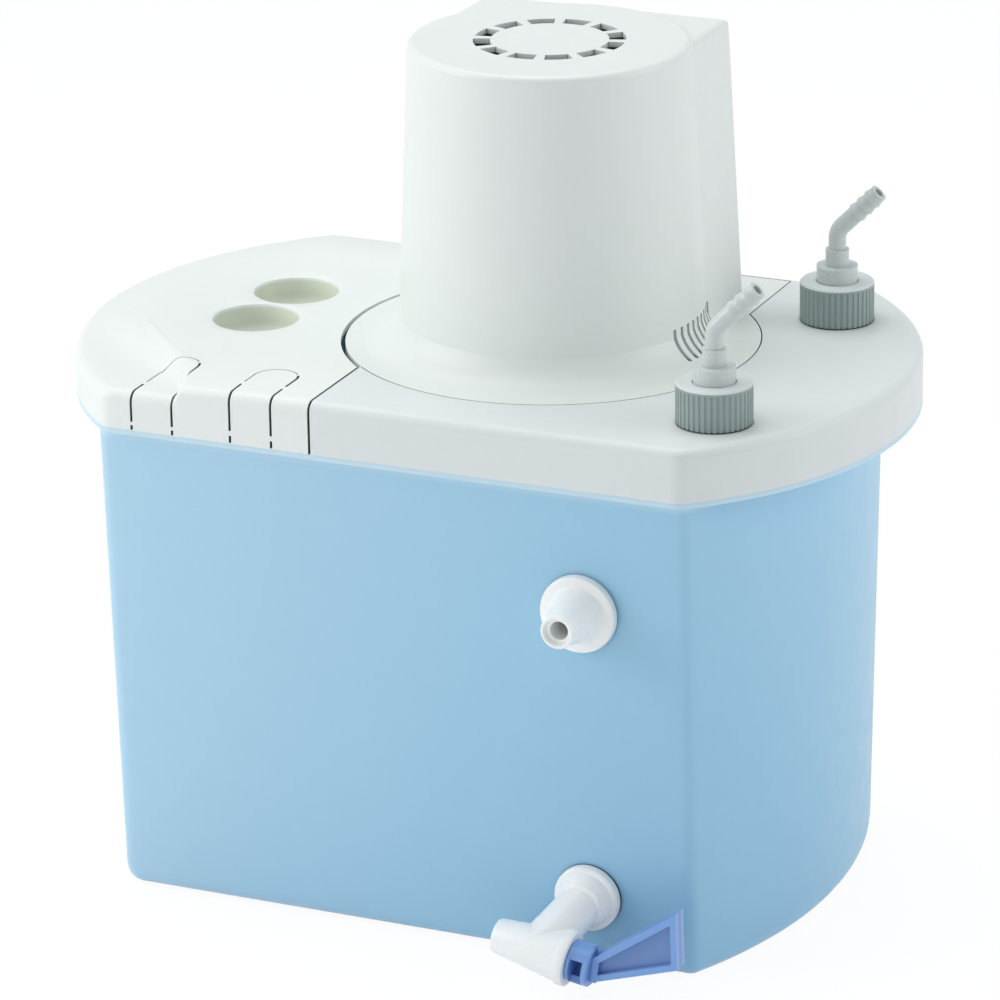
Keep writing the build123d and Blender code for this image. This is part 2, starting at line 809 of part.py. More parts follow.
def make_jet(y):
    jet = rod(riser_x, y, ejector_high - 5, ejector_high, ejector_chamber)
    jet += cone(riser_x, y, ejector_high - jet_height, ejector_high - 5, jet_orifice + 1.6, ejector_chamber - 3)
    jet -= cone(riser_x, y, ejector_high - jet_height - 1, ejector_high - 4, jet_orifice, ejector_chamber - 5)
    return jet - rod(riser_x, y, ejector_high - 5, ejector_high + 1, ejector_chamber - 5)


def make_diffuser(y):
    pipe = rod(riser_x, y, diffuser_low, ejector_low, diffuser_top_radius)
    pipe += rod(riser_x, y, ejector_low, ejector_low + 8, diffuser_mid_radius)
    mouth = cone(riser_x, y, diffuser_low - 1, ejector_low - 20, diffuser_mouth, diffuser_throat)
    throat = rod(riser_x, y, ejector_low - 21, ejector_low + 9, diffuser_throat)
    return pipe - mouth - throat


def make_suction_elbow(y):
    start_x = riser_x + branch_reach
    top = lid_top - socket_below
    path = FilletPolyline((start_x, y, branch_z), (port_x, y, branch_z), (port_x, y, top),
                          radius=port_x - start_x - 1)
    section = Plane(origin=path @ 0, z_dir=path % 0)
    pipe = sweep(section * Circle(branch_radius), path=path)
    return pipe - sweep(section * Circle(branch_bore), path=path)


def make_socket(y):
    low = lid_top - socket_below
    seat = lid_top + socket_height - valve_chamber_depth
    socket = rod(port_x, y, low, lid_top, socket_below_radius)
    socket += rod(port_x, y, lid_top, lid_top + socket_flange, socket_flange_radius)
    socket += rod(port_x, y, lid_top, lid_top + socket_height, socket_radius)
    socket -= rod(port_x, y, low - 1, seat + 1, branch_bore)
    return socket - rod(port_x, y, seat, lid_top + socket_height + 1, valve_chamber_radius)


def make_socket_nut(y):
    high = lid_top - lid_wall
    plan = RegularPolygon(socket_nut_radius, 6)
    nut = at(port_x, y, high - socket_nut_height) * extrude(plan, socket_nut_height)
    return nut - rod(port_x, y, high - socket_nut_height - 1, high + 1, socket_below_radius)


def make_valve_disc(y):
    seat = lid_top + socket_height - valve_chamber_depth
    return rod(port_x, y, seat, seat + valve_disc_height, valve_disc_radius)


def make_seal(y):
    low = lid_top + socket_height
    return tube(port_x, y, low, low + seal_height, seal_radius, seal_bore)


def make_union_cap(y):
    low = lid_top + cap_lift
    high = low + cap_height
    plan = Circle(cap_radius)
    cap = at(port_x, y, low) * extrude(plan, cap_height)
    cap = chamfer(cap.faces().sort_by(Axis.Z)[-1].edges(), 0.8)
    cap -= rod(port_x, y, low - 1, high - cap_plate, cap_bore)
    cap -= rod(port_x, y, low - 1, lid_top + socket_flange + 1, socket_flange_radius + 0.5)
    for index in range(cap_ribs):
        angle = index * 360 / cap_ribs
        groove_x, groove_y = around(cap_radius + 0.2, angle, port_x, y)
        cap -= rod(groove_x, groove_y, low - 1, high - 2, cap_rib_depth + 0.2)
    return cap - rod(port_x, y, low, high + 1, hub_radius + hub_clearance)


def make_hose_nozzle(y):
    low = lid_top + socket_height + seal_height
    cap_top = lid_top + cap_lift + cap_height
    elbow_z = cap_top + elbow_height
    tip = (nozzle_length * sin(radians(elbow_tilt)), 0, nozzle_length * cos(radians(elbow_tilt)))
    bend = FilletPolyline((0, 0, cap_top), (0, 0, elbow_z), (tip[0], 0, elbow_z + tip[2]), radius=elbow_bend)
    section = Plane(origin=bend @ 0, z_dir=bend % 0)
    stem = sweep(section * Circle(stem_radius), path=bend)
    nozzle = rod(0, 0, low, low + barb_flange, barb_flange_radius)
    nozzle += rod(0, 0, low, cap_top + hub_height, hub_radius)
    nozzle += rod(0, 0, cap_top + hub_height, cap_top + hub_height + collar_height, collar_radius)
    nozzle += stem
    for index in range(barb_count):
        back = nozzle_length - (index + 1) * barb_pitch
        barb = Cone(barb_radius, barb_tip_radius, barb_pitch - 0.8, align=(Align.CENTER, Align.CENTER, Align.MIN))
        nozzle += Pos(0, 0, elbow_z) * Rot(0, elbow_tilt, 0) * Pos(0, 0, back) * barb
    bore = sweep(section * Circle(hose_bore), path=bend)
    nozzle -= bore
    nozzle -= Pos(0, 0, elbow_z) * Rot(0, elbow_tilt, 0) * Pos(0, 0, nozzle_length - 2) * Cylinder(hose_bore, 6)
    nozzle -= rod(0, 0, low - 1, cap_top + 1, hose_bore)
    return at(port_x, y, 0) * Rot(0, 0, barb_yaw) * nozzle


# Overflow nozzle
def wall_y(z):
    """Depth of the tank's front wall, on the outside, at a height."""
    return -tank_half_depth - z * tan(radians(tank_draft))


def tank_outer():
    return tank_body(0, 0)


def tank_inner():
    return tank_body(tank_wall, tank_floor)


def make_gasket(x, z, outer):
    """A washer cut to the tank's sloping front wall."""
    face = wall_y(z)
    ring = front_rod(x, face - gasket_thickness, face + tank_wall, z, gasket_radius)
    ring -= front_rod(x, face - 10, face + 10, z, fitting_thread_radius)
    return ring - outer


def make_fitting_nut(x, z, inner_front):
    nut_plan = Plane.XZ * RegularPolygon(fitting_nut_radius, 6)
    face = inner_front
    nut = at(x, face + fitting_nut_height, z) * extrude(nut_plan, fitting_nut_height)
    return nut


def make_overflow():
    face = wall_y(overflow_z) - gasket_thickness
    tip = face - overflow_flange - overflow_reach
    x, z = overflow_x, overflow_z
    nozzle = front_rod(x, face - overflow_flange, face, z, overflow_flange_radius)
    nozzle = fillet(nozzle.faces().sort_by(Axis.Y)[0].edges(), 1.5)
    boss = Cone(overflow_boss_radius, overflow_radius, overflow_reach * 0.55)
    nozzle += at(x, face - overflow_flange - overflow_reach * 0.275, z) * Rot(90, 0, 0) * boss
    nozzle += front_rod(x, tip, face, z, overflow_radius)
    inner_reach = face + gasket_thickness + tank_wall + fitting_thread_reach
    nozzle += front_rod(x, face - 1, inner_reach, z, fitting_thread_radius - 0.1)
    return nozzle - front_rod(x, tip - 1, inner_reach + 1, z, overflow_bore)


# Drain cock
def tapered_rod(radius_start, radius_end, length, align=Align.CENTER):
    if radius_start == radius_end:
        return Cylinder(radius_start, length, align=(Align.CENTER, Align.CENTER, align))
    return Cone(radius_start, radius_end, length, align=(Align.CENTER, Align.CENTER, align))


def barrel_frame():
    return Pos(*barrel_left) * Rot(0, barrel_tilt, 0)


def along_barrel(start, end, radius_start, radius_end):
    """A cone along the barrel's axis, in the barrel's own frame."""
    length = end - start
    return Pos(start + length / 2, 0, 0) * Rot(0, 90, 0) * tapered_rod(radius_start, radius_end, length)


def neck_cone(radius_start, radius_end, reach):
    face = wall_y(drain_z) - gasket_thickness - drain_flange / 2
    start = Vector(drain_x, face, drain_z)
    end_location = barrel_frame() * Pos(neck_meets, 0, 0)
    end = end_location.position
    direction = (end - start).normalized()
    length = (end - start).length + reach
    plane = Plane(origin=start, z_dir=direction)
    return plane * tapered_rod(radius_start, radius_end, length, Align.MIN)


def make_drain_body():
    face = wall_y(drain_z) - gasket_thickness
    body = front_rod(drain_x, face - drain_flange, face, drain_z, drain_flange_radius)
    body = fillet(body.faces().sort_by(Axis.Y)[0].edges(), 1.5)
    dome = at(drain_x, face - drain_flange + 5, drain_z) * Sphere(drain_dome_radius)
    neck = neck_cone(neck_start_radius, neck_end_radius, 0)
    body += (dome + neck) & block(0, lid_half_length, face - lid_half_depth, face, 0, drain_z * 2)
    barrel = along_barrel(0, barrel_length, barrel_small, barrel_large)
    barrel = fillet(barrel.faces().sort_by(Axis.X)[0].edges(), 1.5)
    collar_end = barrel_length + barrel_collar_length
    barrel += along_barrel(barrel_length, collar_end, barrel_collar, barrel_collar)
    body += barrel_frame() * barrel
    reach_in = face + gasket_thickness + tank_wall + fitting_thread_reach
    body += front_rod(drain_x, face - 1, reach_in, drain_z, fitting_thread_radius - 0.1)
    body -= barrel_frame() * plug_taper(plug_start, collar_end + 1, plug_clearance)
    body -= barrel_frame() * along_barrel(-1, plug_start + 1, outlet_bore, outlet_bore)
    body -= neck_cone(neck_bore, neck_bore, 0)
    return body - front_rod(drain_x, face - 3, reach_in + 1, drain_z, overflow_bore)


def plug_taper(start, end, slack):
    rise = (plug_large - plug_small) / (barrel_length + barrel_collar_length - plug_start)
    radius_start = plug_small + slack + (start - plug_start) * rise
    radius_end = plug_small + slack + (end - plug_start) * rise
    return along_barrel(start, end, radius_start, radius_end)


def make_drain_lever():
    collar_end = barrel_length + barrel_collar_length
    hub_end = collar_end + lever_gap + lever_hub_length
    plug = plug_taper(plug_start + 0.3, collar_end, 0)
    plug += along_barrel(collar_end, hub_end, plug_large, lever_hub_radius)
    outline = make_face(Polyline(*lever_outline, lever_outline[0]))
    paddle = extrude(Plane.XZ * outline, lever_thickness / 2, both=True)
    pocket = offset(outline, -lever_border)
    depth = (lever_thickness - lever_web) / 2
    for side in (-1, 1):
        middle = side * (lever_web / 2 + depth / 2 + 0.5)
        paddle -= Pos(0, middle, 0) * extrude(Plane.XZ * pocket, depth / 2 + 0.5, both=True)
    neck_low, neck_high = lever_outline[0][1], lever_outline[-1][1]
    lever = plug + paddle
    lever += block(hub_end - 3, lever_outline[0][0] + 1, -lever_thickness / 2, lever_thickness / 2,
                   neck_low, neck_high)
    lever -= along_barrel(plug_start - 1, plug_start + 20, plug_bore, plug_bore)
    window = Pos(neck_meets, 0, 0) * Rot(-90, 0, 0) * Cylinder(neck_bore, 20, align=(Align.CENTER, Align.CENTER, Align.MIN))
    lever -= window
    return barrel_frame() * lever


def build():
    outer, inner = tank_outer(), tank_inner()
    parts = {"tank": make_tank(), "left_lid": make_left_lid(), "deck": make_deck()}
    parts["motor_cover"] = make_motor_cover()
    floor_low = lid_top - flange_thickness - deck_floor
    parts["cover_screws"] = make_screws(screw_places(cover_screw_radius, cover_screw_angles),
                                        floor_low, lid_top - 1.2)
    parts["motor_plate"] = make_motor_plate()
    parts["motor_body"] = make_motor_body()
    parts["motor_end_bell"] = make_end_bell()
    parts["lower_bearing"] = make_bearing(motor_low())
    parts["upper_bearing"] = make_bearing(motor_low() + motor_height)
    parts["motor_shaft"] = make_shaft()
    parts["cooling_fan"] = make_fan()
    parts["motor_screws"] = make_screws(motor_screw_places(), motor_low(), floor_low - column_flange)
    parts["capacitor"] = make_capacitor()
    parts["terminal_block"] = make_terminal_block()
    parts["switch_frame"] = make_switch_frame()
    parts["switch_rocker"] = make_switch_rocker()
    parts["cord_inlet"] = make_cord_inlet()
    parts["pump_column"] = make_column()
    parts["shaft_slinger"] = make_slinger()
    parts["pump_housing"] = make_pump_housing()
    parts["impeller"] = make_impeller()
    parts["pump_base_plate"] = make_pump_lid()
    parts["pump_screws"] = make_screws(screw_places(pump_radius - pump_wall / 2, pump_screw_angles),
                                       pump_base, pump_base + pump_lid_thickness + 7, pump_screw, 2 * pump_screw)
    parts["intake_strainer"] = make_strainer()
    parts["riser_pipe"] = make_riser()
    parts["header_pipe"] = make_header()
    for name, y in zip(port_names, port_ys):
        parts["ejector_body_" + name] = make_ejector(y)
        parts["jet_nozzle_" + name] = make_jet(y)
        parts["diffuser_" + name] = make_diffuser(y)
        parts["suction_elbow_" + name] = make_suction_elbow(y)
        parts["port_socket_" + name] = make_socket(y)
        parts["socket_nut_" + name] = make_socket_nut(y)
        parts["valve_disc_" + name] = make_valve_disc(y)
        parts["port_seal_" + name] = make_seal(y)
        parts["union_cap_" + name] = make_union_cap(y)
        parts["hose_nozzle_" + name] = make_hose_nozzle(y)
    parts["overflow_nozzle"] = make_overflow()
    parts["overflow_gasket"] = make_gasket(overflow_x, overflow_z, outer)
    parts["drain_body"] = make_drain_body()
    parts["drain_gasket"] = make_gasket(drain_x, drain_z, outer)
    parts["drain_lever"] = make_drain_lever()
    for name, x, z in (("overflow_nut", overflow_x, overflow_z), ("drain_nut", drain_x, drain_z)):
        face = wall_y(z) + tank_wall
        nut = make_fitting_nut(x, z, face - 1) & inner
        parts[name] = nut - front_rod(x, face - 9, face + 20, z, fitting_thread_radius)
    return parts


os.makedirs("parts", exist_ok=True)
for node, shape in build().items():
    export_step(shape, "parts/" + node + ".step")
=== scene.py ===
import bmesh
import bpy
import json
import math
from mathutils import Matrix, Vector, geometry


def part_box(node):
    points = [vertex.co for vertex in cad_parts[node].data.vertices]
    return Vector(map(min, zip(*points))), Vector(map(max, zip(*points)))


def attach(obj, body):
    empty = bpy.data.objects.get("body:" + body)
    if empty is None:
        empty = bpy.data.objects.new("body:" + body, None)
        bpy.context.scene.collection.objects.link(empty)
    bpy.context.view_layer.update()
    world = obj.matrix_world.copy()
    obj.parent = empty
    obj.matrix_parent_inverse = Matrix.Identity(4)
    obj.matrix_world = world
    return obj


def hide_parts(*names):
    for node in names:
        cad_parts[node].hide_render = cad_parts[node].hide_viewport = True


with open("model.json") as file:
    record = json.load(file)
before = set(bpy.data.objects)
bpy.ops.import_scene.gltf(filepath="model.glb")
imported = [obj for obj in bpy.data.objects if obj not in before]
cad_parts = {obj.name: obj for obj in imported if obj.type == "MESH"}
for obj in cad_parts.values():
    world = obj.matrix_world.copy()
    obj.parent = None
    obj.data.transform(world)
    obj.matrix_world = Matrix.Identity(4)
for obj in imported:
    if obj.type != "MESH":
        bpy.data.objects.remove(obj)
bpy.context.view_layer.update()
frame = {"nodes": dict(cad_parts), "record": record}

nodes = frame["nodes"]
print("aspirator: frame loaded with", len(nodes), "nodes")

# pieces are shaped in millimetres, looks and the studio are in metres
perMetre = 1000
weldReach = 0.00001   # vertices nearer than this become one
sharpAngle = 34.0     # an edge bent by more degrees stays crisp


def newMaterial(name):
    mat = bpy.data.materials.new(name)
    mat.use_nodes = True
    mat.node_tree.nodes.clear()
    out = mat.node_tree.nodes.new("ShaderNodeOutputMaterial")
    shader = mat.node_tree.nodes.new("ShaderNodeBsdfPrincipled")
    mat.node_tree.links.new(shader.outputs[0], out.inputs["Surface"])
    return mat, mat.node_tree.nodes, mat.node_tree.links, shader


def plugIn(links, socket, value):
    # a value or a socket goes into a socket
    if isinstance(value, bpy.types.NodeSocket):
        links.new(value, socket)
    elif isinstance(value, (tuple, list)):
        socket.default_value = (*value, 1.0) if len(value) == 3 and socket.type == "RGBA" else value
    else:
        socket.default_value = value


def objectPoint(tree):
    return tree.new("ShaderNodeTexCoord").outputs["Object"]


def axesOf(tree, links):
    # X, Y and Z of the place on the object
    split = tree.new("ShaderNodeSeparateXYZ")
    links.new(objectPoint(tree), split.inputs[0])
    return split.outputs


def noiseOf(tree, links, scale, detail=3.0, rough=0.5, stretch=None):
    point = objectPoint(tree)
    if stretch:
        mapping = tree.new("ShaderNodeMapping")
        mapping.inputs["Scale"].default_value = stretch
        links.new(point, mapping.inputs["Vector"])
        point = mapping.outputs[0]
    noise = tree.new("ShaderNodeTexNoise")
    noise.inputs["Scale"].default_value = scale
    noise.inputs["Detail"].default_value = detail
    noise.inputs["Roughness"].default_value = rough
    links.new(point, noise.inputs["Vector"])
    return noise.outputs["Fac"]


def mathOf(tree, links, operation, first, second=0.0, third=0.0):
    node = tree.new("ShaderNodeMath")
    node.operation = operation
    for socket, value in zip(node.inputs, (first, second, third)):
        plugIn(links, socket, value)
    return node.outputs[0]


def spread(tree, links, value, low, high, toLow, toHigh):
    # a value carried from one range to another
    node = tree.new("ShaderNodeMapRange")
    ends = {"Value": value, "From Min": low, "From Max": high, "To Min": toLow, "To Max": toHigh}
    for name, item in ends.items():
        plugIn(links, node.inputs[name], item)
    return node.outputs[0]


def mixColour(tree, links, factor, first, second):
    # a mix node keeps its two colours at inputs 6 and 7, and their mix at output 2
    node = tree.new("ShaderNodeMix")
    node.data_type = "RGBA"
    plugIn(links, node.inputs[0], factor)
    plugIn(links, node.inputs[6], first)
    plugIn(links, node.inputs[7], second)
    return node.outputs[2]


def addBumps(tree, links, shader, layers):
    # each layer is a height socket, a strength and a distance in metres
    normal = None
    for height, strength, distance in layers:
        bump = tree.new("ShaderNodeBump")
        bump.inputs["Strength"].default_value = strength
        bump.inputs["Distance"].default_value = distance
        links.new(height, bump.inputs["Height"])
        if normal:
            links.new(normal, bump.inputs["Normal"])
        normal = bump.outputs[0]
    links.new(normal, shader.inputs["Normal"])


plasticBase = {
    "colour": (0.7, 0.7, 0.7), "shade": (0.64, 0.64, 0.64),   # main colour and the darker cloud in it
    "cloudScale": 9.0, "cloudAmount": 0.5, "cloudRange": (0.34, 0.66), "fineRatio": 14, "fineShare": 0.35,
    "rough": 0.42, "roughSpread": 0.06, "roughRange": (0.3, 0.7),
    "grainScale": 2600.0, "grainStrength": 0.10, "grainDepth": 0.00008,
    "waveScale": 22.0, "waveStrength": 0.10, "waveDepth": 0.0006,   # slow sink waves of a moulding
    "scuffs": 0.06, "scuffScale": 60.0, "scuffStretch": (1.0, 4.0, 14.0), "scuffRange": (0.62, 0.74),
    "scuffGain": 1.12, "scuffLift": 0.02, "scuffRough": 0.35,
    "softness": 0.0, "softRadius": 0.004,
    # painted shade in grooves and seams: its amount, reach, range, samples and colour
    "crevice": 0.0, "creviceReach": 0.0025, "creviceRange": (0.42, 0.7), "creviceSamples": 8,
    "creviceColour": (0.05, 0.055, 0.05),
}


def paintCreviceShade(tree, links, colour, look):
    # painted shade: an ambient-occlusion mask darkens grooves and seams
    hollow = tree.new("ShaderNodeAmbientOcclusion")
    hollow.samples = look["creviceSamples"]
    hollow.inputs["Distance"].default_value = look["creviceReach"]
    mask = spread(tree, links, hollow.outputs["AO"], *look["creviceRange"], look["crevice"], 0.0)
    return mixColour(tree, links, mask, colour, look["creviceColour"])


def mouldedPlastic(name, **changes):
    look = dict(plasticBase, **changes)
    mat, tree, links, shader = newMaterial(name)
    cloud = noiseOf(tree, links, look["cloudScale"], 4.0, 0.55)
    fineCloud = noiseOf(tree, links, look["cloudScale"] * look["fineRatio"], 3.0, 0.6)
    broad = mathOf(tree, links, "MULTIPLY", cloud, 1 - look["fineShare"])
    mixed = mathOf(tree, links, "MULTIPLY_ADD", fineCloud, look["fineShare"], broad)
    factor = spread(tree, links, mixed, *look["cloudRange"], 0.0, look["cloudAmount"])
    colour = mixColour(tree, links, factor, look["colour"], look["shade"])
    # short light scuffs from handling and washing
    scuff = noiseOf(tree, links, look["scuffScale"], 8.0, 0.75, look["scuffStretch"])
    scuffMask = spread(tree, links, scuff, *look["scuffRange"], 0.0, look["scuffs"])
    lighter = tuple(min(1.0, c * look["scuffGain"] + look["scuffLift"]) for c in look["colour"])
    colour = mixColour(tree, links, scuffMask, colour, lighter)
    # painted shade in grooves and seams
    if look["crevice"]:
        colour = paintCreviceShade(tree, links, colour, look)
    links.new(colour, shader.inputs["Base Color"])
    low, high = look["rough"] - look["roughSpread"], look["rough"] + look["roughSpread"]
    rough = spread(tree, links, fineCloud, *look["roughRange"], low, high)
    rough = mathOf(tree, links, "MULTIPLY_ADD", scuffMask, look["scuffRough"], rough)
    links.new(rough, shader.inputs["Roughness"])
    grain = noiseOf(tree, links, look["grainScale"], 2.0, 0.5)
    wave = noiseOf(tree, links, look["waveScale"], 1.0, 0.4)
    addBumps(tree, links, shader, [(wave, look["waveStrength"], look["waveDepth"]),
                                   (grain, look["grainStrength"], look["grainDepth"])])
    if look["softness"]:
        shader.inputs["Subsurface Weight"].default_value = look["softness"]
        shader.inputs["Subsurface Radius"].default_value = (1.0, 1.0, 1.0)
        shader.inputs["Subsurface Scale"].default_value = look["softRadius"]
    return mat, tree, links, shader, colour


tankLook = {
    "colour": (0.362, 0.632, 0.845), "shade": (0.345, 0.61, 0.82),
    "cloudScale": 7.0, "cloudAmount": 0.6, "rough": 0.38, "roughSpread": 0.06,
    "grainScale": 1500.0, "grainStrength": 0.14, "grainDepth": 0.00012,
    "waveStrength": 0.16, "waveScale": 15.0, "waveDepth": 0.0009,
    "scuffs": 0.06, "softness": 0.18, "softRadius": 0.012,
}
tankPaintedLight = {   # painted light and shade: where each fade starts and ends along its axis, and its amount at both
    # painted shade towards the foot
    "foot": {"axis": "Z", "ends": (0.0, 0.236), "amounts": (0.6, 0.0), "colour": (0.275, 0.55, 0.785)},
    # painted light on the side nearer the left lamp
    "left": {"axis": "X", "ends": (0.10, -0.18), "amounts": (0.0, 0.85), "colour": (0.485, 0.715, 0.89)},
    # painted highlight along the rim under the lid
    "rim": {"axis": "Z", "ends": (0.2325, 0.2365), "amounts": (0.0, 0.75), "colour": (0.66, 0.83, 0.93)},
}


def makeTankBlue():
    # painted shade deepens the blue towards the foot, painted light makes it paler to the left, and a painted
    # highlight runs along the thin rim
    mat, tree, links, shader, colour = mouldedPlastic("tankBlue", **tankLook)
    axes = axesOf(tree, links)
    for fade in tankPaintedLight.values():
        share = spread(tree, links, axes[fade["axis"]], *fade["ends"], *fade["amounts"])
        colour = mixColour(tree, links, share, colour, fade["colour"])
    links.new(colour, shader.inputs["Base Color"])
    return mat


lidLook = {
    "colour": (0.845, 0.875, 0.845), "shade": (0.82, 0.85, 0.82),
    "cloudScale": 12.0, "cloudAmount": 0.5, "rough": 0.44, "roughSpread": 0.06,
    "grainScale": 1700.0, "grainStrength": 0.2, "grainDepth": 0.00012, "scuffs": 0.08,
    # painted shade in the lid's grooves, seams and tab cuts
    "crevice": 0.9,
}
# painted shade: the deck is the lid's white made darker, for the lesser light that falls on it
deckShadedLook = dict(lidLook, colour=(0.775, 0.80, 0.80), shade=(0.745, 0.77, 0.77))
coverLook = {
    "colour": (0.83, 0.86, 0.83), "shade": (0.80, 0.83, 0.80),
    "cloudScale": 10.0, "cloudAmount": 0.5, "rough": 0.40, "roughSpread": 0.06,
    "grainScale": 1900.0, "grainStrength": 0.16, "grainDepth": 0.0001, "crevice": 0.85,
}
# painted shade inside the finger cups: its colour, amount, reach, the lid top and the edge of its fade
cupPaintedShade = {"colour": (0.68, 0.71, 0.60), "amount": 0.9, "reach": 0.0212, "top": 0.2630, "edge": 0.001}


def makeLidWhite():
    # painted shade: the finger cups are given a duller, warmer tone than the lid round them
    mat, tree, links, shader, colour = mouldedPlastic("lidWhite", **lidLook)
    axes = axesOf(tree, links)
    below = spread(tree, links, axes["Z"], cupPaintedShade["top"] - cupPaintedShade["edge"], cupPaintedShade["top"], 1.0, 0.0)
    inside = None
    for y in cupShape["ys"]:
        alongX = mathOf(tree, links, "SUBTRACT", axes["X"], cupShape["x"] / perMetre)
        alongY = mathOf(tree, links, "SUBTRACT", axes["Y"], y / perMetre)
        squareY = mathOf(tree, links, "MULTIPLY", alongY, alongY)
        squares = mathOf(tree, links, "MULTIPLY_ADD", alongX, alongX, squareY)
        near = mathOf(tree, links, "LESS_THAN", squares, cupPaintedShade["reach"] ** 2)
        inside = near if inside is None else mathOf(tree, links, "MAXIMUM", inside, near)
    sunk = mathOf(tree, links, "MULTIPLY", below, inside)
    mask = mathOf(tree, links, "MULTIPLY", sunk, cupPaintedShade["amount"])
    links.new(mixColour(tree, links, mask, colour, cupPaintedShade["colour"]), shader.inputs["Base Color"])
    return mat


fittingLook = {
    "colour": (0.97, 0.97, 0.96), "shade": (0.955, 0.957, 0.95), "rough": 0.30, "roughSpread": 0.05,
    "cloudScale": 40.0, "cloudAmount": 0.25, "grainStrength": 0.03, "waveStrength": 0.05,
    "softness": 0.1, "softRadius": 0.002, "scuffs": 0.0,
}
elbowLook = dict(fittingLook, colour=(0.62, 0.66, 0.655), shade=(0.60, 0.64, 0.635), rough=0.26)
leverLook = {
    "colour": (0.22, 0.40, 0.78), "shade": (0.19, 0.36, 0.73), "rough": 0.32, "cloudScale": 60.0,
    "grainStrength": 0.08, "softness": 0.08, "softRadius": 0.002, "scuffs": 0.05,
}
# painted shade in the paddle's sunk panels
leverPanelShade = {"colour": (0.17, 0.29, 0.58), "start": 0.106, "edge": (0.0002, 0.0008)}


def makeLeverBlue():
    # painted shade: the sunk panels of the paddle are given a deeper blue than its rim
    mat, tree, links, shader, colour = mouldedPlastic("leverBlue", **leverLook)
    axes = axesOf(tree, links)
    middle, web = cockShape["barrelLeft"][1] / perMetre, cockShape["web"] / perMetre / 2
    depth = mathOf(tree, links, "ABSOLUTE", mathOf(tree, links, "SUBTRACT", axes["Y"], middle))
    sunk = spread(tree, links, depth, web + leverPanelShade["edge"][0], web + leverPanelShade["edge"][1], 1.0, 0.0)
    past = mathOf(tree, links, "GREATER_THAN", axes["X"], leverPanelShade["start"])
    mask = mathOf(tree, links, "MULTIPLY", sunk, past)
    colour = mixColour(tree, links, mask, colour, leverPanelShade["colour"])
    links.new(colour, shader.inputs["Base Color"])
    return mat


capLook = {
    "colour": (0.33, 0.405, 0.395), "shade": (0.28, 0.35, 0.34), "rough": 0.45, "cloudScale": 50.0,
    # painted shade darkens the grooves between the ribs
    "grainStrength": 0.15, "scuffs": 0.1, "crevice": 0.6, "creviceColour": (0.10, 0.125, 0.12),
}
capTop = {"colour": (0.70, 0.74, 0.735), "height": 0.2826}


def makeCapGrey():
    # ribbed grey side with a white plate as its top
    mat, tree, links, shader, colour = mouldedPlastic("capGrey", **capLook)
    mask = mathOf(tree, links, "GREATER_THAN", axesOf(tree, links)["Z"], capTop["height"])
    colour = mixColour(tree, links, mask, colour, capTop["colour"])
    links.new(colour, shader.inputs["Base Color"])
    return mat


metalBase = {
    "lineScale": 900.0, "lineStretch": (1.0, 1.0, 30.0), "lineStrength": 0.12, "lineDepth": 0.00005,
    "stainScale": 35.0, "tint": 0.12, "roughRange": (0.3, 0.7), "roughLow": 0.8, "roughHigh": 1.3,
}


def turnedMetal(name, colour, rough, metallic):
    # fine turning lines and a faint stain
    look = metalBase
    mat, tree, links, shader = newMaterial(name)
    lines = noiseOf(tree, links, look["lineScale"], 3.0, 0.6, look["lineStretch"])
    stain = noiseOf(tree, links, look["stainScale"], 5.0, 0.6)
    darker = tuple(c * (1.0 - look["tint"]) for c in colour)
    links.new(mixColour(tree, links, stain, colour, darker), shader.inputs["Base Color"])
    low, high = rough * look["roughLow"], rough * look["roughHigh"]
    links.new(spread(tree, links, stain, *look["roughRange"], low, high), shader.inputs["Roughness"])
    shader.inputs["Metallic"].default_value = metallic
    addBumps(tree, links, shader, [(lines, look["lineStrength"], look["lineDepth"])])
    return mat


rubberLook = {
    "colour": (0.02, 0.02, 0.021), "dustScale": 90.0, "dustGain": 1.8, "dustLift": 0.02,
    "dustRange": (0.45, 0.75), "dustAmount": 0.7, "roughRange": (0.3, 0.7), "roughs": (0.62, 0.8),
    "grainScale": 1800.0, "grainStrength": 0.25, "grainDepth": 0.0001,
}


def makeRubberBlack():
    # dull black with a little pale dust
    look = rubberLook
    mat, tree, links, shader = newMaterial("rubberBlack")
    dust = noiseOf(tree, links, look["dustScale"], 6.0, 0.65)
    dusty = tuple(c * look["dustGain"] + look["dustLift"] for c in look["colour"])
    mask = spread(tree, links, dust, *look["dustRange"], 0.0, look["dustAmount"])
    links.new(mixColour(tree, links, mask, look["colour"], dusty), shader.inputs["Base Color"])
    links.new(spread(tree, links, dust, *look["roughRange"], *look["roughs"]), shader.inputs["Roughness"])
    grain = noiseOf(tree, links, look["grainScale"], 2.0)
    addBumps(tree, links, shader, [(grain, look["grainStrength"], look["grainDepth"])])
    return mat


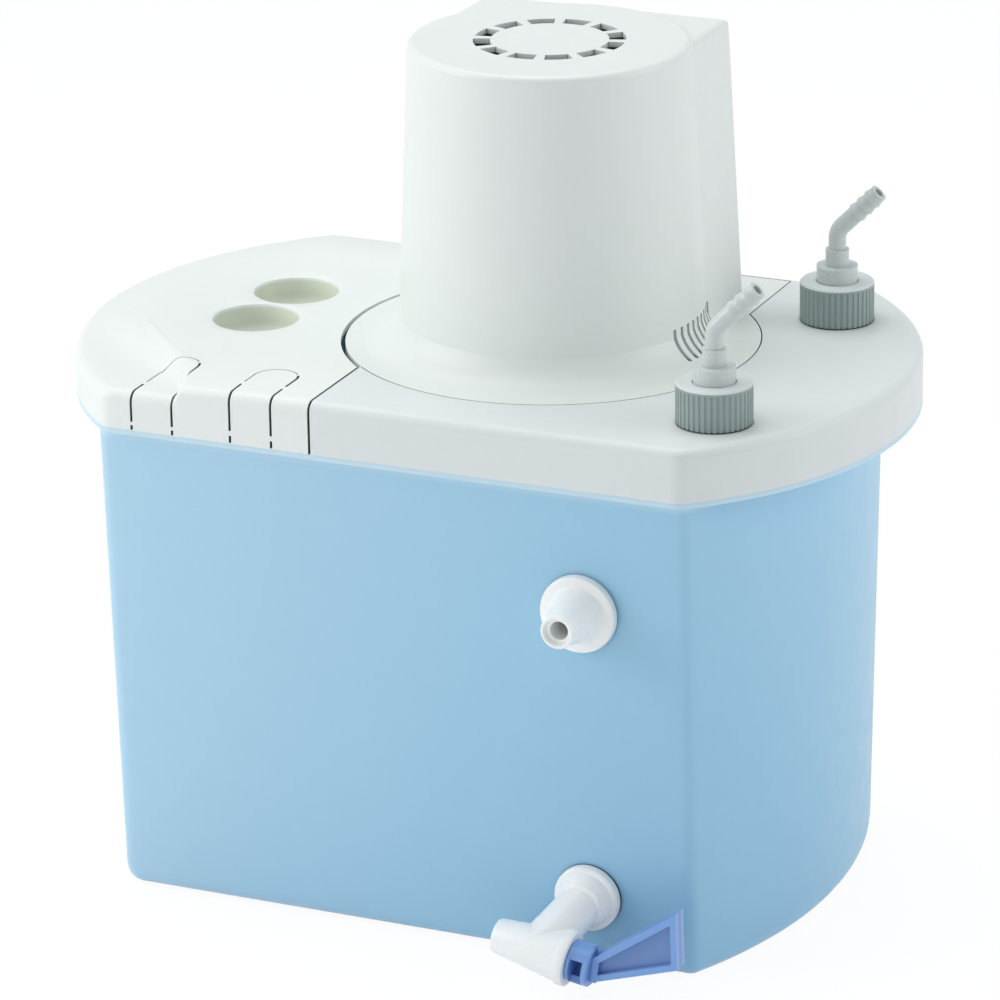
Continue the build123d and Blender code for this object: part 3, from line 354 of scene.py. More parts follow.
innerPlastics = {   # colour and roughness
    "pumpPlastic": ((0.60, 0.61, 0.58), 0.46),
    "pipePlastic": ((0.50, 0.52, 0.53), 0.40),
    "strainerPlastic": ((0.075, 0.085, 0.095), 0.5),
    "impellerPlastic": ((0.035, 0.038, 0.042), 0.45),
    "fanPlastic": ((0.018, 0.018, 0.02), 0.45),
    "blackPlastic": ((0.012, 0.012, 0.014), 0.32),
    "terminalResin": ((0.58, 0.55, 0.46), 0.5),
    "capacitorShell": ((0.022, 0.025, 0.03), 0.42),
}
innerShade, innerCloudScale = 0.85, 40.0
innerMetals = {   # colour, roughness and metallic
    "motorEnamel": ((0.09, 0.105, 0.115), 0.45, 0.0),
    "castAlloy": ((0.44, 0.44, 0.44), 0.48, 1.0),
    "galvanised": ((0.46, 0.47, 0.475), 0.42, 1.0),
    "bearingSteel": ((0.50, 0.50, 0.50), 0.22, 1.0),
    "shaftSteel": ((0.44, 0.44, 0.44), 0.28, 1.0),
    "screwSteel": ((0.52, 0.52, 0.52), 0.30, 1.0),
    "jetBrass": ((0.60, 0.42, 0.14), 0.30, 1.0),
}


def makeFinishes():
    made = {
        "tankBlue": makeTankBlue(),
        "lidWhite": makeLidWhite(),
        "deckWhite": mouldedPlastic("deckWhite", **deckShadedLook)[0],
        "elbowWhite": mouldedPlastic("elbowWhite", **elbowLook)[0],
        "coverWhite": mouldedPlastic("coverWhite", **coverLook)[0],
        "fittingWhite": mouldedPlastic("fittingWhite", **fittingLook)[0],
        "leverBlue": makeLeverBlue(),
        "capGrey": makeCapGrey(),
        "rubberBlack": makeRubberBlack(),
    }
    for name, (colour, rough) in innerPlastics.items():
        shade = tuple(c * innerShade for c in colour)
        look = {"colour": colour, "shade": shade, "rough": rough, "cloudScale": innerCloudScale}
        made[name] = mouldedPlastic(name, **look)[0]
    for name, (colour, rough, metallic) in innerMetals.items():
        made[name] = turnedMetal(name, colour, rough, metallic)
    return made


# nodes whose finish isn't the one that their slot in the record names
# the deck's finish holds painted shade
ownFinish = {"deck": "deckWhite", "hose_nozzle_front": "elbowWhite", "hose_nozzle_rear": "elbowWhite"}


def camelOf(slotName):
    head, *rest = slotName.split("_")
    return head + "".join(word.capitalize() for word in rest)


def assignFinishes():
    for part in frame["record"]["subparts"]:
        finish = finishes[ownFinish.get(part["node"], camelOf(part["material_slot"]))]
        for place in nodes[part["node"]].material_slots:
            place.material = finish


def finishMesh(mesh, sharp):
    work = bmesh.new()
    work.from_mesh(mesh)
    bmesh.ops.remove_doubles(work, verts=work.verts, dist=weldReach)
    bmesh.ops.recalc_face_normals(work, faces=work.faces)
    work.to_mesh(mesh)
    work.free()
    mesh.shade_smooth()
    mesh.set_sharp_from_angle(angle=math.radians(sharp))


def addPiece(name, vertices, faces, finish, body, node, sharp=sharpAngle):
    mesh = bpy.data.meshes.new(name)
    mesh.from_pydata(vertices, [], faces)
    mesh.validate()
    mesh.materials.append(finishes[finish])
    finishMesh(mesh, sharp)
    piece = bpy.data.objects.new(name, mesh)
    bpy.context.scene.collection.objects.link(piece)
    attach(piece, body)
    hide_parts(node)


ringSteps = {"side": 12, "end": 40, "corner": 6}   # divisions of a plan's sides, bowed ends and corners
cornerReach = 0.36                                 # how far a soft corner eats into each side
rimPlan = {   # outer edge that the tank's lip and the lid share
    "left": -206.5, "right": 201.0, "straightLeft": -147.5, "straightRight": 141.0,
    "depth": 126.5, "corner": 12.0,
}


def endArc(tip, straight, depth, sign):
    # one bowed end, through its tip and the two ends of the straight sides
    rise = abs(tip - straight)
    radius = (depth ** 2 + rise ** 2) / (2 * rise)
    middle = tip - math.copysign(radius, tip - straight)
    half = math.asin(min(1.0, depth / radius))
    points = []
    for step in range(ringSteps["end"] + 1):
        angle = sign * half * (1 - 2 * step / ringSteps["end"])
        points.append(Vector((middle + math.copysign(radius * math.cos(angle), tip - straight),
                              radius * math.sin(angle))))
    return points


def bowedRing(left, right, straightLeft, straightRight, depth, corner):
    # plan of the tank and lid: straight front and back, bowed ends, soft corners
    def side(start, end, y):
        count = ringSteps["side"]
        return [Vector((start + (end - start) * k / count, y)) for k in range(count + 1)]

    runs = [side(straightRight, straightLeft, -depth), endArc(left, straightLeft, depth, -1),
            side(straightLeft, straightRight, depth), endArc(right, straightRight, depth, 1)]
    ring = []
    for index, run in enumerate(runs):
        following = runs[(index + 1) % len(runs)]
        apex = run[-1]
        start = apex + (run[-2] - apex).normalized() * corner * cornerReach
        end = apex + (following[1] - apex).normalized() * corner * cornerReach
        ring += run[1:-1]
        for step in range(ringSteps["corner"] + 1):
            t = step / ringSteps["corner"]
            ring.append(start * (1 - t) ** 2 + apex * 2 * t * (1 - t) + end * t ** 2)
    return ring


tankShape = {
    "bottomLeft": -179.5, "bottomRight": 171.5, "topLeft": -183.7, "topRight": 175.7,
    "straightLeft": -150.5, "straightRight": 142.5, "frontFoot": 114.5, "frontTop": 124.1,
    "corner": 13.0, "leastCorner": 2.0, "footRound": 11.0, "footSteps": 6, "height": 239.0,
    "wall": 3.0, "floor": 4.0, "lipLow": 236.5,
    "outerLevels": (60.0, 120.0, 180.0), "innerLevel": 120.0,
}


def tankRing(z, inset):
    # the tank's plan at a height, moved inward by an inset
    shape = tankShape
    rise = z / shape["height"]
    left = shape["bottomLeft"] + (shape["topLeft"] - shape["bottomLeft"]) * rise
    right = shape["bottomRight"] + (shape["topRight"] - shape["bottomRight"]) * rise
    depth = shape["frontFoot"] + (shape["frontTop"] - shape["frontFoot"]) * rise
    return bowedRing(left + inset, right - inset, shape["straightLeft"] + inset / 2,
                     shape["straightRight"] - inset / 2, depth - inset,
                     max(shape["leastCorner"], shape["corner"] - inset))


def buildTank():
    # a drafted tub with a rounded foot, a flat lip and an inside
    shape = tankShape
    rings = []
    for step in reversed(range(shape["footSteps"] + 1)):
        angle = math.pi / 2 * step / shape["footSteps"]
        z = shape["footRound"] * (1 - math.sin(angle))
        rings.append((tankRing(z, shape["footRound"] * (1 - math.cos(angle))), z))
    rings += [(tankRing(z, 0.0), z) for z in (*shape["outerLevels"], shape["lipLow"])]
    lip = bowedRing(**rimPlan)
    rings += [(lip, shape["lipLow"]), (lip, shape["height"])]
    innerLevels = (shape["height"], shape["innerLevel"], shape["footRound"])
    rings += [(tankRing(z, shape["wall"]), z) for z in innerLevels]
    rings.append((tankRing(shape["floor"], shape["footRound"]), shape["floor"]))
    vertices = [(x / perMetre, y / perMetre, z / perMetre) for ring, z in rings for x, y in ring]
    count = len(lip)
    faces = [(level * count + k, level * count + (k + 1) % count,
              (level + 1) * count + (k + 1) % count, (level + 1) * count + k)
             for level in range(len(rings) - 1) for k in range(count)]
    faces.append(tuple(range(count)))
    faces.append(tuple((len(rings) - 1) * count + k for k in range(count)))
    addPiece("tankTub", vertices, faces, "tankBlue", "aspirator", "tank")


lidShape = {
    "seam": -41.9, "tongue": -50.7, "top": 264.0, "bottom": 239.0, "wall": 2.6,
    "round": 5.0, "roundSteps": 4, "edgeSteps": 34, "endMargin": 6.0, "sharpAngle": 40.0,
    "coverCentre": (25.5, 2.0), "coverRadius": 100.2, "coverSteps": 40,   # cut that clears the cover's flange
    "ease": 5.6, "easeReach": 48.0,   # how far the top drops at its rim, and over what width
    "shelf": 257.5, "step": 4.0, "stepGrowth": 0.6, "stepStart": 26.0,    # lowered corner and its step
    "bow": ((-106.0, -150.0), (-106.0, -126.0), (-111.0, -108.0), (-131.0, -79.0), (-170.0, -35.0),
            (-222.0, 18.0)),
    "stepLines": (0.0, 1.3, 2.7, 4.0), "stepSide": (-0.8, -0.6),          # mesh lines that follow the step
    "grid": 9.0, "gridFront": 7.0, "gridBack": 6.0, "slack": 0.01, "meshWeld": 0.0005,
}
cupShape = {
    "x": -118.2, "ys": (-22.7, 22.0), "radius": 20.6, "rim": 0.8, "rimShare": 0.3,
    "floor": 252.0, "round": 4.0, "roundSteps": 4, "steps": 64,
}
tabShape = {
    "centres": (-122.1, -71.2), "half": 10.5, "slot": 1.2, "groove": 0.55, "skirtLow": 21.5,
    "dotLow": 27.4, "dotHigh": 23.9, "dash": 8.5, "gapEnd": 12.0,
    "arcStart": 23.0, "arcSteps": 18, "heavyPoints": 5,
}


def normalAt(line, k):
    # left-hand normal of an open line at one of its points
    along = (line[min(k + 1, len(line) - 1)] - line[max(k - 1, 0)]).normalized()
    return Vector((-along.y, along.x))


def lidEdge():
    # outer edge of the lift-off lid from the front seam round to the back, with outward normals
    shape, depth, count = lidShape, rimPlan["depth"], lidShape["edgeSteps"]
    left = [point for point in bowedRing(**rimPlan) if point.x < rimPlan["straightLeft"] + shape["endMargin"]]
    start = min(range(len(left)), key=lambda k: (left[k].y > -depth + shape["slack"], -left[k].x))
    left = left[start:] + left[:start]
    front = [Vector((shape["seam"] + (left[0].x - shape["seam"]) * k / count, -depth)) for k in range(count)]
    back = [Vector((left[-1].x + (shape["tongue"] - left[-1].x) * k / count, depth))
            for k in range(1, count + 1)]
    line = front + left + back
    normals = [normalAt(line, k) for k in range(len(line))]
    normals[0], normals[-1] = Vector((0, -1)), Vector((0, 1))
    return line, normals


def nearestOn(line, point):
    # squared distance, foot point and segment of a line that lie nearest to a point
    best = None
    for first, second in zip(line, line[1:]):
        run = second - first
        share = max(0.0, min(1.0, (point - first).dot(run) / max(run.length_squared, 1e-9)))
        foot = first + run * share
        gap = (point - foot).length_squared
        if best is None or gap < best[0]:
            best = (gap, foot, run)
    return best


def lidHeight(point):
    # the top eases down to its left and back rim, and steps down to the lowered front corner
    shape = lidShape
    sagitta = abs(rimPlan["left"] - rimPlan["straightLeft"])
    radius = (rimPlan["depth"] ** 2 + sagitta ** 2) / (2 * sagitta)
    fromEnd = radius - (point - Vector((rimPlan["left"] + radius, 0.0))).length
    fromRim = max(0.0, min(fromEnd, rimPlan["depth"] - point.y))
    eased = max(0.0, 1.0 - fromRim / shape["easeReach"])
    height = shape["top"] - shape["ease"] * eased * eased
    gap, foot, run = nearestOn([Vector(place) for place in shape["bow"]], point)
    side = run.x * (point.y - foot.y) - run.y * (point.x - foot.x)
    if side > 0 and height > shape["shelf"]:
        width = shape["step"] + shape["stepGrowth"] * max(0.0, foot.y + rimPlan["depth"] - shape["stepStart"])
        share = min(1.0, math.sqrt(gap) / width)
        height += (shape["shelf"] - height) * share * share * (3 - 2 * share)
    return height


def boxLoop(x0, x1, y0, y1):
    return [Vector((x0, y0)), Vector((x1, y0)), Vector((x1, y1)), Vector((x0, y1))]


def strip(line, width):
    # closed loop round a line that is given a width
    outer, within = [], []
    for k, point in enumerate(line):
        across = normalAt(line, k) * width / 2
        outer.append(point + across)
        within.append(point - across)
    return within + outer[::-1]


def tabSlots(edge):
    # broken cuts round each knock-out tab: down the skirt, over the rim and round its end
    shape, loops = tabShape, []
    for centre in shape["centres"]:
        for side in (-1, 1):
            x0 = centre + side * shape["half"] - shape["slot"] / 2
            x1 = x0 + shape["slot"]
            loops.append(boxLoop(x0, x1, edge - shape["skirtLow"], edge + shape["dash"]))
            loops.append(boxLoop(x0, x1, edge - shape["dotLow"], edge - shape["dotHigh"]))
        middle = Vector((centre, edge + shape["arcStart"]))
        line = [Vector((centre - shape["half"], edge + shape["gapEnd"]))]
        line += [middle + Vector((-math.cos(a), math.sin(a))) * shape["half"]
                 for a in (math.pi * k / shape["arcSteps"] for k in range(shape["arcSteps"] + 1))]
        line.append(Vector((centre + shape["half"], edge + shape["gapEnd"])))
        heavy = len(line) - shape["heavyPoints"]   # the cut is wider from here to its right end
        loops += [strip(line[:heavy], shape["groove"]), strip(line[heavy:], shape["slot"])]
    return loops


def cupLoop(y):
    middle, reach = Vector((cupShape["x"], y)), cupShape["radius"] + cupShape["rim"]
    turns = (2 * math.pi * k / cupShape["steps"] for k in range(cupShape["steps"]))
    return [middle + Vector((math.cos(a), math.sin(a))) * reach for a in turns]


def coverCut():
    # arc that clears the cover's flange, from the back tongue to the front seam
    shape = lidShape
    centre, radius = Vector(shape["coverCentre"]), shape["coverRadius"]

    def turnAt(x, side):
        return math.atan2(side * math.sqrt(radius ** 2 - (x - centre.x) ** 2), x - centre.x)

    high, low = turnAt(shape["tongue"], 1), turnAt(shape["seam"], -1) + 2 * math.pi
    turns = (high + (low - high) * k / shape["coverSteps"] for k in range(shape["coverSteps"] + 1))
    return [centre + Vector((math.cos(a), math.sin(a))) * radius for a in turns]


def insideLoop(point, loop):
    inside = False
    for first, second in zip(loop, loop[1:] + loop[:1]):
        if (first.y > point.y) != (second.y > point.y):
            if point.x < first.x + (point.y - first.y) * (second.x - first.x) / (second.y - first.y):
                inside = not inside
    return inside


def lidTriangles(outline, holes, courses):
    # the flat skin, meshed along its outline, its edge courses, its openings and the step
    shape, points, edges = lidShape, [], []

    def addLine(run, closed=False):
        base = len(points)
        points.extend(run)
        edges.extend((base + k, base + k + 1) for k in range(len(run) - 1))
        if closed:
            edges.append((base + len(run) - 1, base))

    addLine(outline, True)
    for course in courses:
        addLine(course)
    for hole in holes:
        addLine(hole, True)
    for offset in shape["stepLines"]:
        addLine([Vector(place) + Vector(shape["stepSide"]) * offset for place in shape["bow"]])
    across = rimPlan["left"]
    while across < shape["seam"]:
        along = -rimPlan["depth"] + shape["gridFront"]
        while along < rimPlan["depth"] - shape["gridBack"]:
            points.append(Vector((across, along)))
            along += shape["grid"]
        across += shape["grid"]
    flat, _, triangles, *_ = geometry.delaunay_2d_cdt(points, edges, [], 0, shape["meshWeld"])
    kept = []
    for triangle in triangles:
        middle = (flat[triangle[0]] + flat[triangle[1]] + flat[triangle[2]]) / 3
        if insideLoop(middle, outline) and not any(insideLoop(middle, hole) for hole in holes):
            kept.append(tuple(triangle))
    return flat, kept


def lidPlace(point, inner, bend, reach):
    # a place on the flat skin, raised to the top, bent over the rim or let down the skirt
    shape = lidShape
    gap, foot, run = nearestOn(inner, point)
    outward = Vector((-run.y, run.x))
    if (point - foot).dot(outward) <= 1e-6 or point.x > shape["seam"] + shape["slack"]:
        return point.x, point.y, lidHeight(point)
    depth, top = math.sqrt(gap), lidHeight(foot)
    normal = (point - foot).normalized()
    if depth <= bend:
        angle = depth / shape["round"]
        place = foot + normal * shape["round"] * math.sin(angle)
        return place.x, place.y, top - shape["round"] * (1 - math.cos(angle))
    place = foot + normal * shape["round"]
    start, share = top - shape["round"], (depth - bend) / (reach - bend)
    return place.x, place.y, start + (shape["bottom"] - start) * share


def addCup(vertices, faces, middle, rim):
    # rounded rim, straight wall, rounded foot and floor of a finger cup
    shape = cupShape
    bevel = shape["rim"] * shape["rimShare"]
    levels = [(shape["radius"] + bevel, bevel, True), (shape["radius"], shape["rim"], True)]
    for step in range(shape["roundSteps"] + 1):
        angle = math.pi / 2 * step / shape["roundSteps"]
        levels.append((shape["radius"] - shape["round"] * (1 - math.cos(angle)),
                       shape["floor"] + shape["round"] * (1 - math.sin(angle)), False))
    before = []
    for point in rim:
        before.append(len(vertices))
        vertices.append((point.x, point.y, lidHeight(point)))
    for radius, value, sunk in levels:
        ring = []
        for point in rim:
            place = middle + (point - middle).normalized() * radius
            ring.append(len(vertices))
            vertices.append((place.x, place.y, lidHeight(place) - value if sunk else value))
        count = len(ring)
        faces.extend((before[k], before[(k + 1) % count], ring[(k + 1) % count], ring[k])
                     for k in range(count))
        before = ring
    faces.append(tuple(before))


def thickened(vertices, faces):
    # a skin given the lid's wall on its inner side
    skin = bpy.data.meshes.new("lidSkin")
    skin.from_pydata([(x / perMetre, y / perMetre, z / perMetre) for x, y, z in vertices], [], faces)
    work = bmesh.new()
    work.from_mesh(skin)
    bmesh.ops.remove_doubles(work, verts=work.verts, dist=weldReach)
    loose = [vertex for vertex in work.verts if not vertex.link_faces]
    bmesh.ops.delete(work, geom=loose, context="VERTS")
    work.to_mesh(skin)
    work.free()
    carrier = bpy.data.objects.new("lidSkin", skin)
    bpy.context.scene.collection.objects.link(carrier)
    wall = carrier.modifiers.new("wall", "SOLIDIFY")
    wall.thickness, wall.offset, wall.use_even_offset = lidShape["wall"] / perMetre, -1.0, False
    solid = bpy.data.meshes.new_from_object(carrier.evaluated_get(bpy.context.evaluated_depsgraph_get()))
    bpy.data.objects.remove(carrier)
    return [tuple(v.co) for v in solid.vertices], [tuple(f.vertices) for f in solid.polygons]


def buildLid():
    shape = lidShape
    line, normals = lidEdge()
    inner = [point - normal * shape["round"] for point, normal in zip(line, normals)]
    bend = math.pi / 2 * shape["round"]
    reach = bend + shape["top"] - shape["round"] - shape["bottom"]

    def course(depth):
        return [point + normal * depth for point, normal in zip(inner, normals)]

    courses = [course(bend * k / shape["roundSteps"]) for k in range(shape["roundSteps"] + 1)]
    cups = [cupLoop(y) for y in cupShape["ys"]]
    flat, faces = lidTriangles(course(reach) + coverCut(), cups + tabSlots(inner[0].y), courses)
    vertices = [lidPlace(point, inner, bend, reach) for point in flat]
    for cup, y in zip(cups, cupShape["ys"]):
        addCup(vertices, faces, Vector((cupShape["x"], y)), cup)
    vertices, faces = thickened(vertices, faces)
    addPiece("lidShell", vertices, faces, "lidWhite", "lift_lid", "left_lid",
             shape["sharpAngle"])


def turned(profile, origin, axis, steps=64, closed=False, side=None, start=0.0, sweep=360.0):
    # surface of revolution: (radius, distance along the axis) pairs in millimetres
    axis = Vector(axis).normalized()
    side = Vector(side) if side else axis.orthogonal().normalized()
    up = axis.cross(side)
    whole = sweep == 360.0
    columns = steps if whole else steps + 1
    vertices, faces = [], []
    for radius, along in profile:
        for k in range(columns):
            angle = math.radians(start + sweep * k / steps)
            place = Vector(origin) + axis * along + (side * math.cos(angle) + up * math.sin(angle)) * radius
            vertices.append(place / perMetre)
    rows = len(profile) if closed else len(profile) - 1
    for row in range(rows):
        following = (row + 1) % len(profile)
        faces.extend((row * columns + k, row * columns + (k + 1) % columns,
                      following * columns + (k + 1) % columns, following * columns + k) for k in range(steps))
    if not closed:
        faces.append(tuple(range(columns)))
        faces.append(tuple((len(profile) - 1) * columns + k for k in range(columns)))
    elif not whole:
        faces.append(tuple(row * columns for row in range(rows)))
        faces.append(tuple(row * columns + columns - 1 for row in range(rows)))
    return vertices, faces


def joined(shapes):
    vertices, faces = [], []
    for points, loops in shapes:
        base = len(vertices)
        vertices.extend(points)
        faces.extend(tuple(base + k for k in loop) for loop in loops)
    return vertices, faces


def carved(shape, tool):
    # one closed shape with another cut out of it
    carriers = []
    for name, (vertices, faces) in (("carvedShape", shape), ("carvingTool", tool)):
        mesh = bpy.data.meshes.new(name)
        mesh.from_pydata(vertices, [], faces)
        finishMesh(mesh, sharpAngle)
        carriers.append(bpy.data.objects.new(name, mesh))
        bpy.context.scene.collection.objects.link(carriers[-1])
    cut = carriers[0].modifiers.new("cut", "BOOLEAN")
    cut.object, cut.operation, cut.solver = carriers[1], "DIFFERENCE", "EXACT"
    graph = bpy.context.evaluated_depsgraph_get()
    graph.update()
    result = bpy.data.meshes.new_from_object(carriers[0].evaluated_get(graph))
    for carrier in carriers:
        bpy.data.objects.remove(carrier)
    return [tuple(v.co) for v in result.vertices], [tuple(f.vertices) for f in result.polygons]


def seatOf(node):
    # centre and outer face of a wall gasket, in millimetres
    low, high = (Vector(corner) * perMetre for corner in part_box(node))
    return Vector(((low.x + high.x) / 2, low.y, (low.z + high.z) / 2))


# radius and distance from the wall's seat, from inside the tank out to the spout's tip and bore
overflowProfile = (
    (4.4, -16.0), (10.4, -16.0), (10.4, 0.0), (18.4, 0.0), (18.4, 2.6), (18.0, 3.5), (17.2, 4.0),
    (14.4, 4.1), (13.6, 4.6), (12.9, 6.0), (8.7, 18.5), (8.2, 21.0), (8.1, 26.0), (7.7, 26.8),
    (7.2, 27.0), (6.5, 26.8), (6.2, 26.2), (6.0, 24.0), (4.4, 23.8),
)


def buildOverflow():
    vertices, faces = turned(overflowProfile, seatOf("overflow_gasket"), (0, -1, 0), closed=True)
    addPiece("overflowSpout", vertices, faces, "fittingWhite", "aspirator",
             "overflow_nozzle")


cockShape = {
    "barrelLeft": (57.0, -146.0, 23.2), "tilt": 9.0,   # the drain joint's own axis
    "flange": ((4.2, -16.0), (10.4, -16.0), (10.4, 0.0), (16.0, 0.0), (16.0, 2.6), (15.6, 3.5),
               (14.8, 4.0), (13.2, 4.2), (12.6, 5.6), (11.2, 8.0), (9.4, 9.8), (4.2, 10.4)),
    "neckAt": 22.0, "neckSink": 2.0,
    "neckRadii": ((10.5, 0.0), (10.6, 0.6), (11.0, 1.0)),   # radius, and share of the neck's length
    "barrel": ((5.2, 10.0), (5.2, 0.0), (6.6, 0.0), (7.7, 0.5), (8.2, 1.6), (12.4, 34.0), (13.0, 34.2),
               (13.2, 34.8), (13.2, 37.9), (12.8, 38.5), (8.6, 38.5), (6.2, 10.2)),
    "seatBore": ((0.01, 8.0), (6.4, 8.0), (8.8, 38.3), (0.01, 38.3)),
    "plug": ((0.01, 11.0), (6.0, 11.0), (8.4, 38.6), (9.5, 38.8), (10.0, 39.4), (10.0, 40.6), (6.6, 40.6),
             (6.6, 40.2), (0.01, 40.2)),
    "hubWall": ((6.6, 40.4), (10.0, 40.4), (10.0, 47.2), (6.6, 47.2)),
    "hubOpening": (-28.0, 62.0), "hubSteps": 48,
    "hubEnd": ((0.01, 47.0), (10.0, 47.0), (10.0, 49.0), (9.4, 49.6), (0.01, 49.6)),
    "paddle": ((50.5, -6.3), (91.0, 13.8), (86.0, 40.8), (50.0, 6.0)),
    "border": 3.0, "thickness": 9.0, "web": 2.6,
    "bridge": (48.0, 53.0), "bridgeRise": 0.4, "bridgeInset": 0.4,   # joins the hub and the paddle
    "axisRadius": 0.01,   # profiles stop just short of the axis
}


def barrelAxis():
    tilt = math.radians(cockShape["tilt"])
    return Vector((math.cos(tilt), 0.0, -math.sin(tilt))), Vector((math.sin(tilt), 0.0, math.cos(tilt)))


def buildCock():
    # flange on the wall, a neck out to the barrel, and the barrel that the plug turns in
    shape = cockShape
    along, _ = barrelAxis()
    origin, seat = Vector(shape["barrelLeft"]), seatOf("drain_gasket")
    neckStart = seat + Vector((0, -shape["neckSink"], 0))
    run = origin + along * shape["neckAt"] - neckStart
    side = [(radius, run.length * share) for radius, share in shape["neckRadii"]]
    neck = [(shape["axisRadius"], 0.0), *side, (shape["axisRadius"], run.length)]
    pieces = [turned(shape["flange"], seat, (0, -1, 0), closed=True),
              carved(turned(neck, neckStart, run), turned(shape["seatBore"], origin, along)),
              turned(shape["barrel"], origin, along, closed=True)]
    vertices, faces = joined(pieces)
    addPiece("drainCock", vertices, faces, "fittingWhite", "aspirator", "drain_body")


def prism(loop, low, high, hole=None):
    # an outline in the barrel's frame carried from one depth to another, with an opening if one is given
    along, up = barrelAxis()
    origin = Vector(cockShape["barrelLeft"])

    def points(outline, depth):
        return [(origin + along * x + up * z + Vector((0, depth, 0))) / perMetre for x, z in outline]

    count = len(loop)
    vertices = points(loop, low) + points(loop, high)
    faces = [(k, (k + 1) % count, count + (k + 1) % count, count + k) for k in range(count)]
    if hole is None:
        faces += [tuple(range(count)), tuple(range(count, 2 * count))]
        return vertices, faces
    base = 2 * count
    vertices += points(hole, low) + points(hole, high)
    for k in range(count):
        j = (k + 1) % count
        faces += [(base + k, base + j, base + count + j, base + count + k), (k, j, base + j, base + k),
                  (count + k, count + j, base + count + j, base + count + k)]
    return vertices, faces


def shrunk(loop, border):
    # the outline moved inward by a border
    lines = []
    for first, second in zip(loop, loop[1:] + loop[:1]):
        run = (Vector(second) - Vector(first)).normalized()
        lines.append((Vector(first) + Vector((-run.y, run.x)) * border, run))
    corners = []
    for (place, run), (other, turn) in zip(lines[-1:] + lines[:-1], lines):
        cross = run.x * turn.y - run.y * turn.x
        share = ((other.x - place.x) * turn.y - (other.y - place.y) * turn.x) / cross
        corners.append(tuple(place + run * share))
    return corners


def buildLever():
    # taper plug, open hub and a triangular paddle with a border round a thin web
    shape = cockShape
    along, _ = barrelAxis()
    outline = list(shape["paddle"])
    inner = shrunk(outline, shape["border"])
    half, thin = shape["thickness"] / 2, shape["web"] / 2
    start, end = shape["bridge"]
    low, high = outline[0][1], outline[3][1]
    bridge = [(start, low), (end, low + shape["bridgeRise"]), (end, high), (start, high)]
    openFrom, openTo = shape["hubOpening"]
    shapes = [turned(shape["plug"], shape["barrelLeft"], along),
              turned(shape["hubWall"], shape["barrelLeft"], along, shape["hubSteps"], True, (0, -1, 0),
                     openTo, 360.0 + openFrom - openTo),
              turned(shape["hubEnd"], shape["barrelLeft"], along),
              prism(outline, -half, half, inner), prism(inner, -thin, thin),
              prism(bridge, shape["bridgeInset"] - half, half - shape["bridgeInset"])]
    vertices, faces = joined(shapes)
    addPiece("drainPaddle", vertices, faces, "leverBlue", "drain_plug", "drain_lever")


finishes = makeFinishes()
assignFinishes()
print("aspirator: finishes assigned:", len(finishes))

buildTank()
buildLid()
buildOverflow()
buildCock()
buildLever()
print("aspirator: shaped pieces built")

studio = {
    "floorColour": (0.92, 0.92, 0.92), "floorSize": 14.0, "floorRough": 0.9, "floorShine": 0.1,
    "floorGlow": 1.04, "floorGlowShare": 0.88,
    "worldColour": (0.90, 0.965, 1.0), "worldLight": 0.48, "background": 1.02,
}
lamps = {
    "leftLamp": {"place": (-1.25, -0.75, 0.85), "power": 9.5, "size": 1.0},
    "rightLamp": {"place": (1.55, 0.45, 0.85), "power": 7.5, "size": 1.0},
    "topLamp": {"place": (-0.4, 0.3, 2.0), "power": 16.5, "size": 1.5},
    "lowLamp": {"place": (0.10, -0.85, 0.22), "power": 0.4, "size": 0.4},
}
lampTarget = (0.0, 0.0, 0.2)
shot = {
    "place": (1.0067, -2.2665, 1.0901), "azimuth": 24.0, "elevation": 20.17, "roll": -0.906,
    "lens": 198.86, "sensor": 36.0, "farthest": 60.0,
}


def makeFloor():
    # pale paper that the camera sees as nearly white
    half = studio["floorSize"] / 2
    mesh = bpy.data.meshes.new("studioFloor")
    corners = [(-half, -half, 0), (half, -half, 0), (half, half, 0), (-half, half, 0)]
    mesh.from_pydata(corners, [], [(0, 1, 2, 3)])
    floor = bpy.data.objects.new("studioFloor", mesh)
    bpy.context.scene.collection.objects.link(floor)
    mat, tree, links, shader = newMaterial("floorPaper")
    shader.inputs["Base Color"].default_value = (*studio["floorColour"], 1.0)
    shader.inputs["Roughness"].default_value = studio["floorRough"]
    shader.inputs["Specular IOR Level"].default_value = studio["floorShine"]
    path = tree.new("ShaderNodeLightPath")
    glow = tree.new("ShaderNodeEmission")
    glow.inputs["Strength"].default_value = studio["floorGlow"]
    mix = tree.new("ShaderNodeMixShader")
    seen = mathOf(tree, links, "MAXIMUM", path.outputs["Is Camera Ray"], path.outputs["Is Glossy Ray"])
    links.new(mathOf(tree, links, "MULTIPLY", seen, studio["floorGlowShare"]), mix.inputs[0])
    links.new(shader.outputs[0], mix.inputs[1])
    links.new(glow.outputs[0], mix.inputs[2])
    out = next(n for n in tree if n.type == "OUTPUT_MATERIAL")
    links.new(mix.outputs[0], out.inputs["Surface"])
    mesh.materials.append(mat)


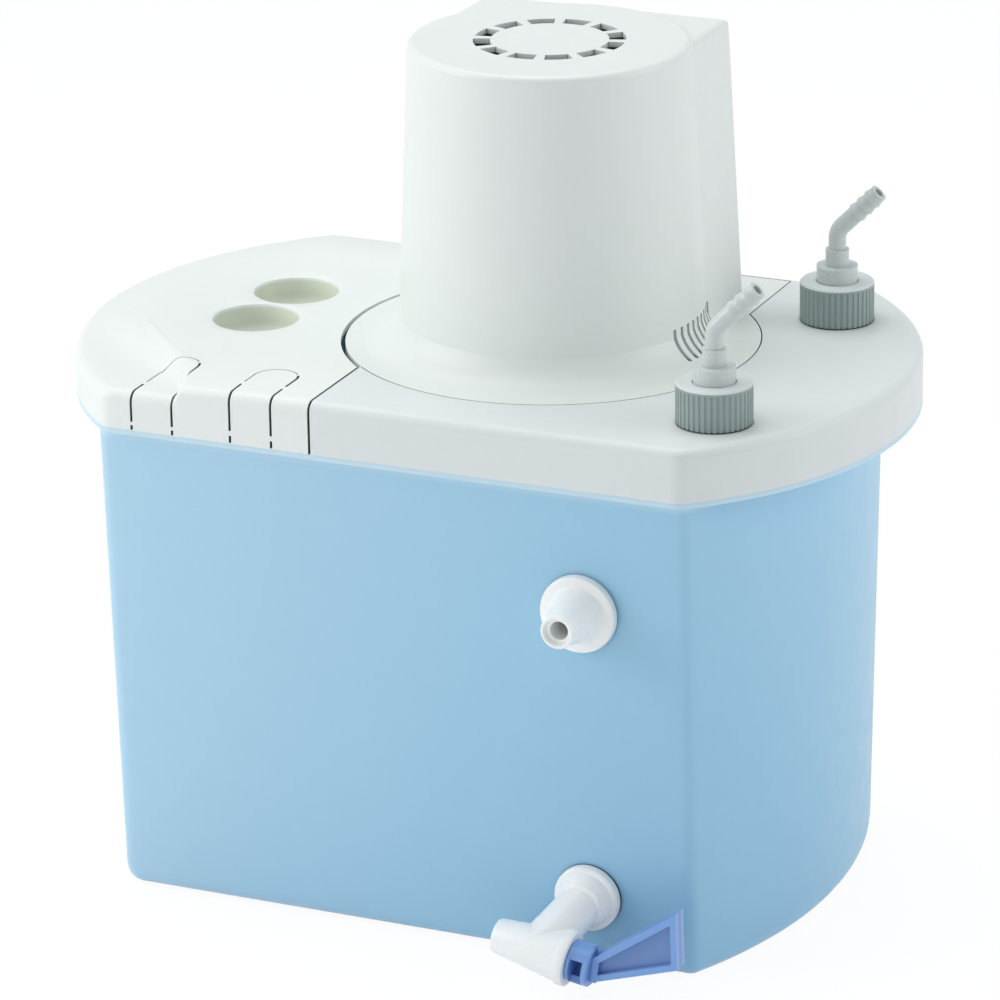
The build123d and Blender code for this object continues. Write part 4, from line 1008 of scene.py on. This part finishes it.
def makeWorld():
    # a cool soft light, seen by the camera as white
    world = bpy.data.worlds.new("studioWorld")
    bpy.context.scene.world = world
    world.use_nodes = True
    tree, links = world.node_tree.nodes, world.node_tree.links
    tree.clear()
    out = tree.new("ShaderNodeOutputWorld")
    light, seen = tree.new("ShaderNodeBackground"), tree.new("ShaderNodeBackground")
    light.inputs["Color"].default_value = (*studio["worldColour"], 1.0)
    light.inputs["Strength"].default_value = studio["worldLight"]
    seen.inputs["Color"].default_value = (1.0, 1.0, 1.0, 1.0)
    seen.inputs["Strength"].default_value = studio["background"]
    path = tree.new("ShaderNodeLightPath")
    either = mathOf(tree, links, "MAXIMUM",
                    path.outputs["Is Camera Ray"], path.outputs["Is Transmission Ray"])
    mix = tree.new("ShaderNodeMixShader")
    links.new(either, mix.inputs[0])
    links.new(light.outputs[0], mix.inputs[1])
    links.new(seen.outputs[0], mix.inputs[2])
    links.new(mix.outputs[0], out.inputs["Surface"])


def makeLamp(name, place, power, size):
    data = bpy.data.lights.new(name, "AREA")
    data.energy, data.size = power, size
    lamp = bpy.data.objects.new(name, data)
    lamp.location = place
    lamp.rotation_euler = (Vector(lampTarget) - Vector(place)).to_track_quat("-Z", "Y").to_euler()
    bpy.context.scene.collection.objects.link(lamp)


def makeCamera():
    az, el, roll = (math.radians(shot[key]) for key in ("azimuth", "elevation", "roll"))
    right = Vector((math.cos(az), math.sin(az), 0.0))
    ahead = Vector((-math.sin(az) * math.cos(el), math.cos(az) * math.cos(el), -math.sin(el)))
    up = right.cross(ahead)
    tiltedRight = right * math.cos(roll) + up * math.sin(roll)
    tiltedUp = tiltedRight.cross(ahead)
    data = bpy.data.cameras.new("studioCamera")
    data.lens, data.sensor_width, data.clip_end = shot["lens"], shot["sensor"], shot["farthest"]
    camera = bpy.data.objects.new("studioCamera", data)
    turn = Matrix((tiltedRight, tiltedUp, -ahead)).transposed()
    camera.matrix_world = Matrix.Translation(shot["place"]) @ turn.to_4x4()
    bpy.context.scene.collection.objects.link(camera)
    bpy.context.scene.camera = camera


makeFloor()
makeWorld()
for name, lamp in lamps.items():
    makeLamp(name, **lamp)
makeCamera()
bpy.context.scene.view_settings.view_transform = "Standard"
print("aspirator: studio ready")

bpy.context.view_layer.update()
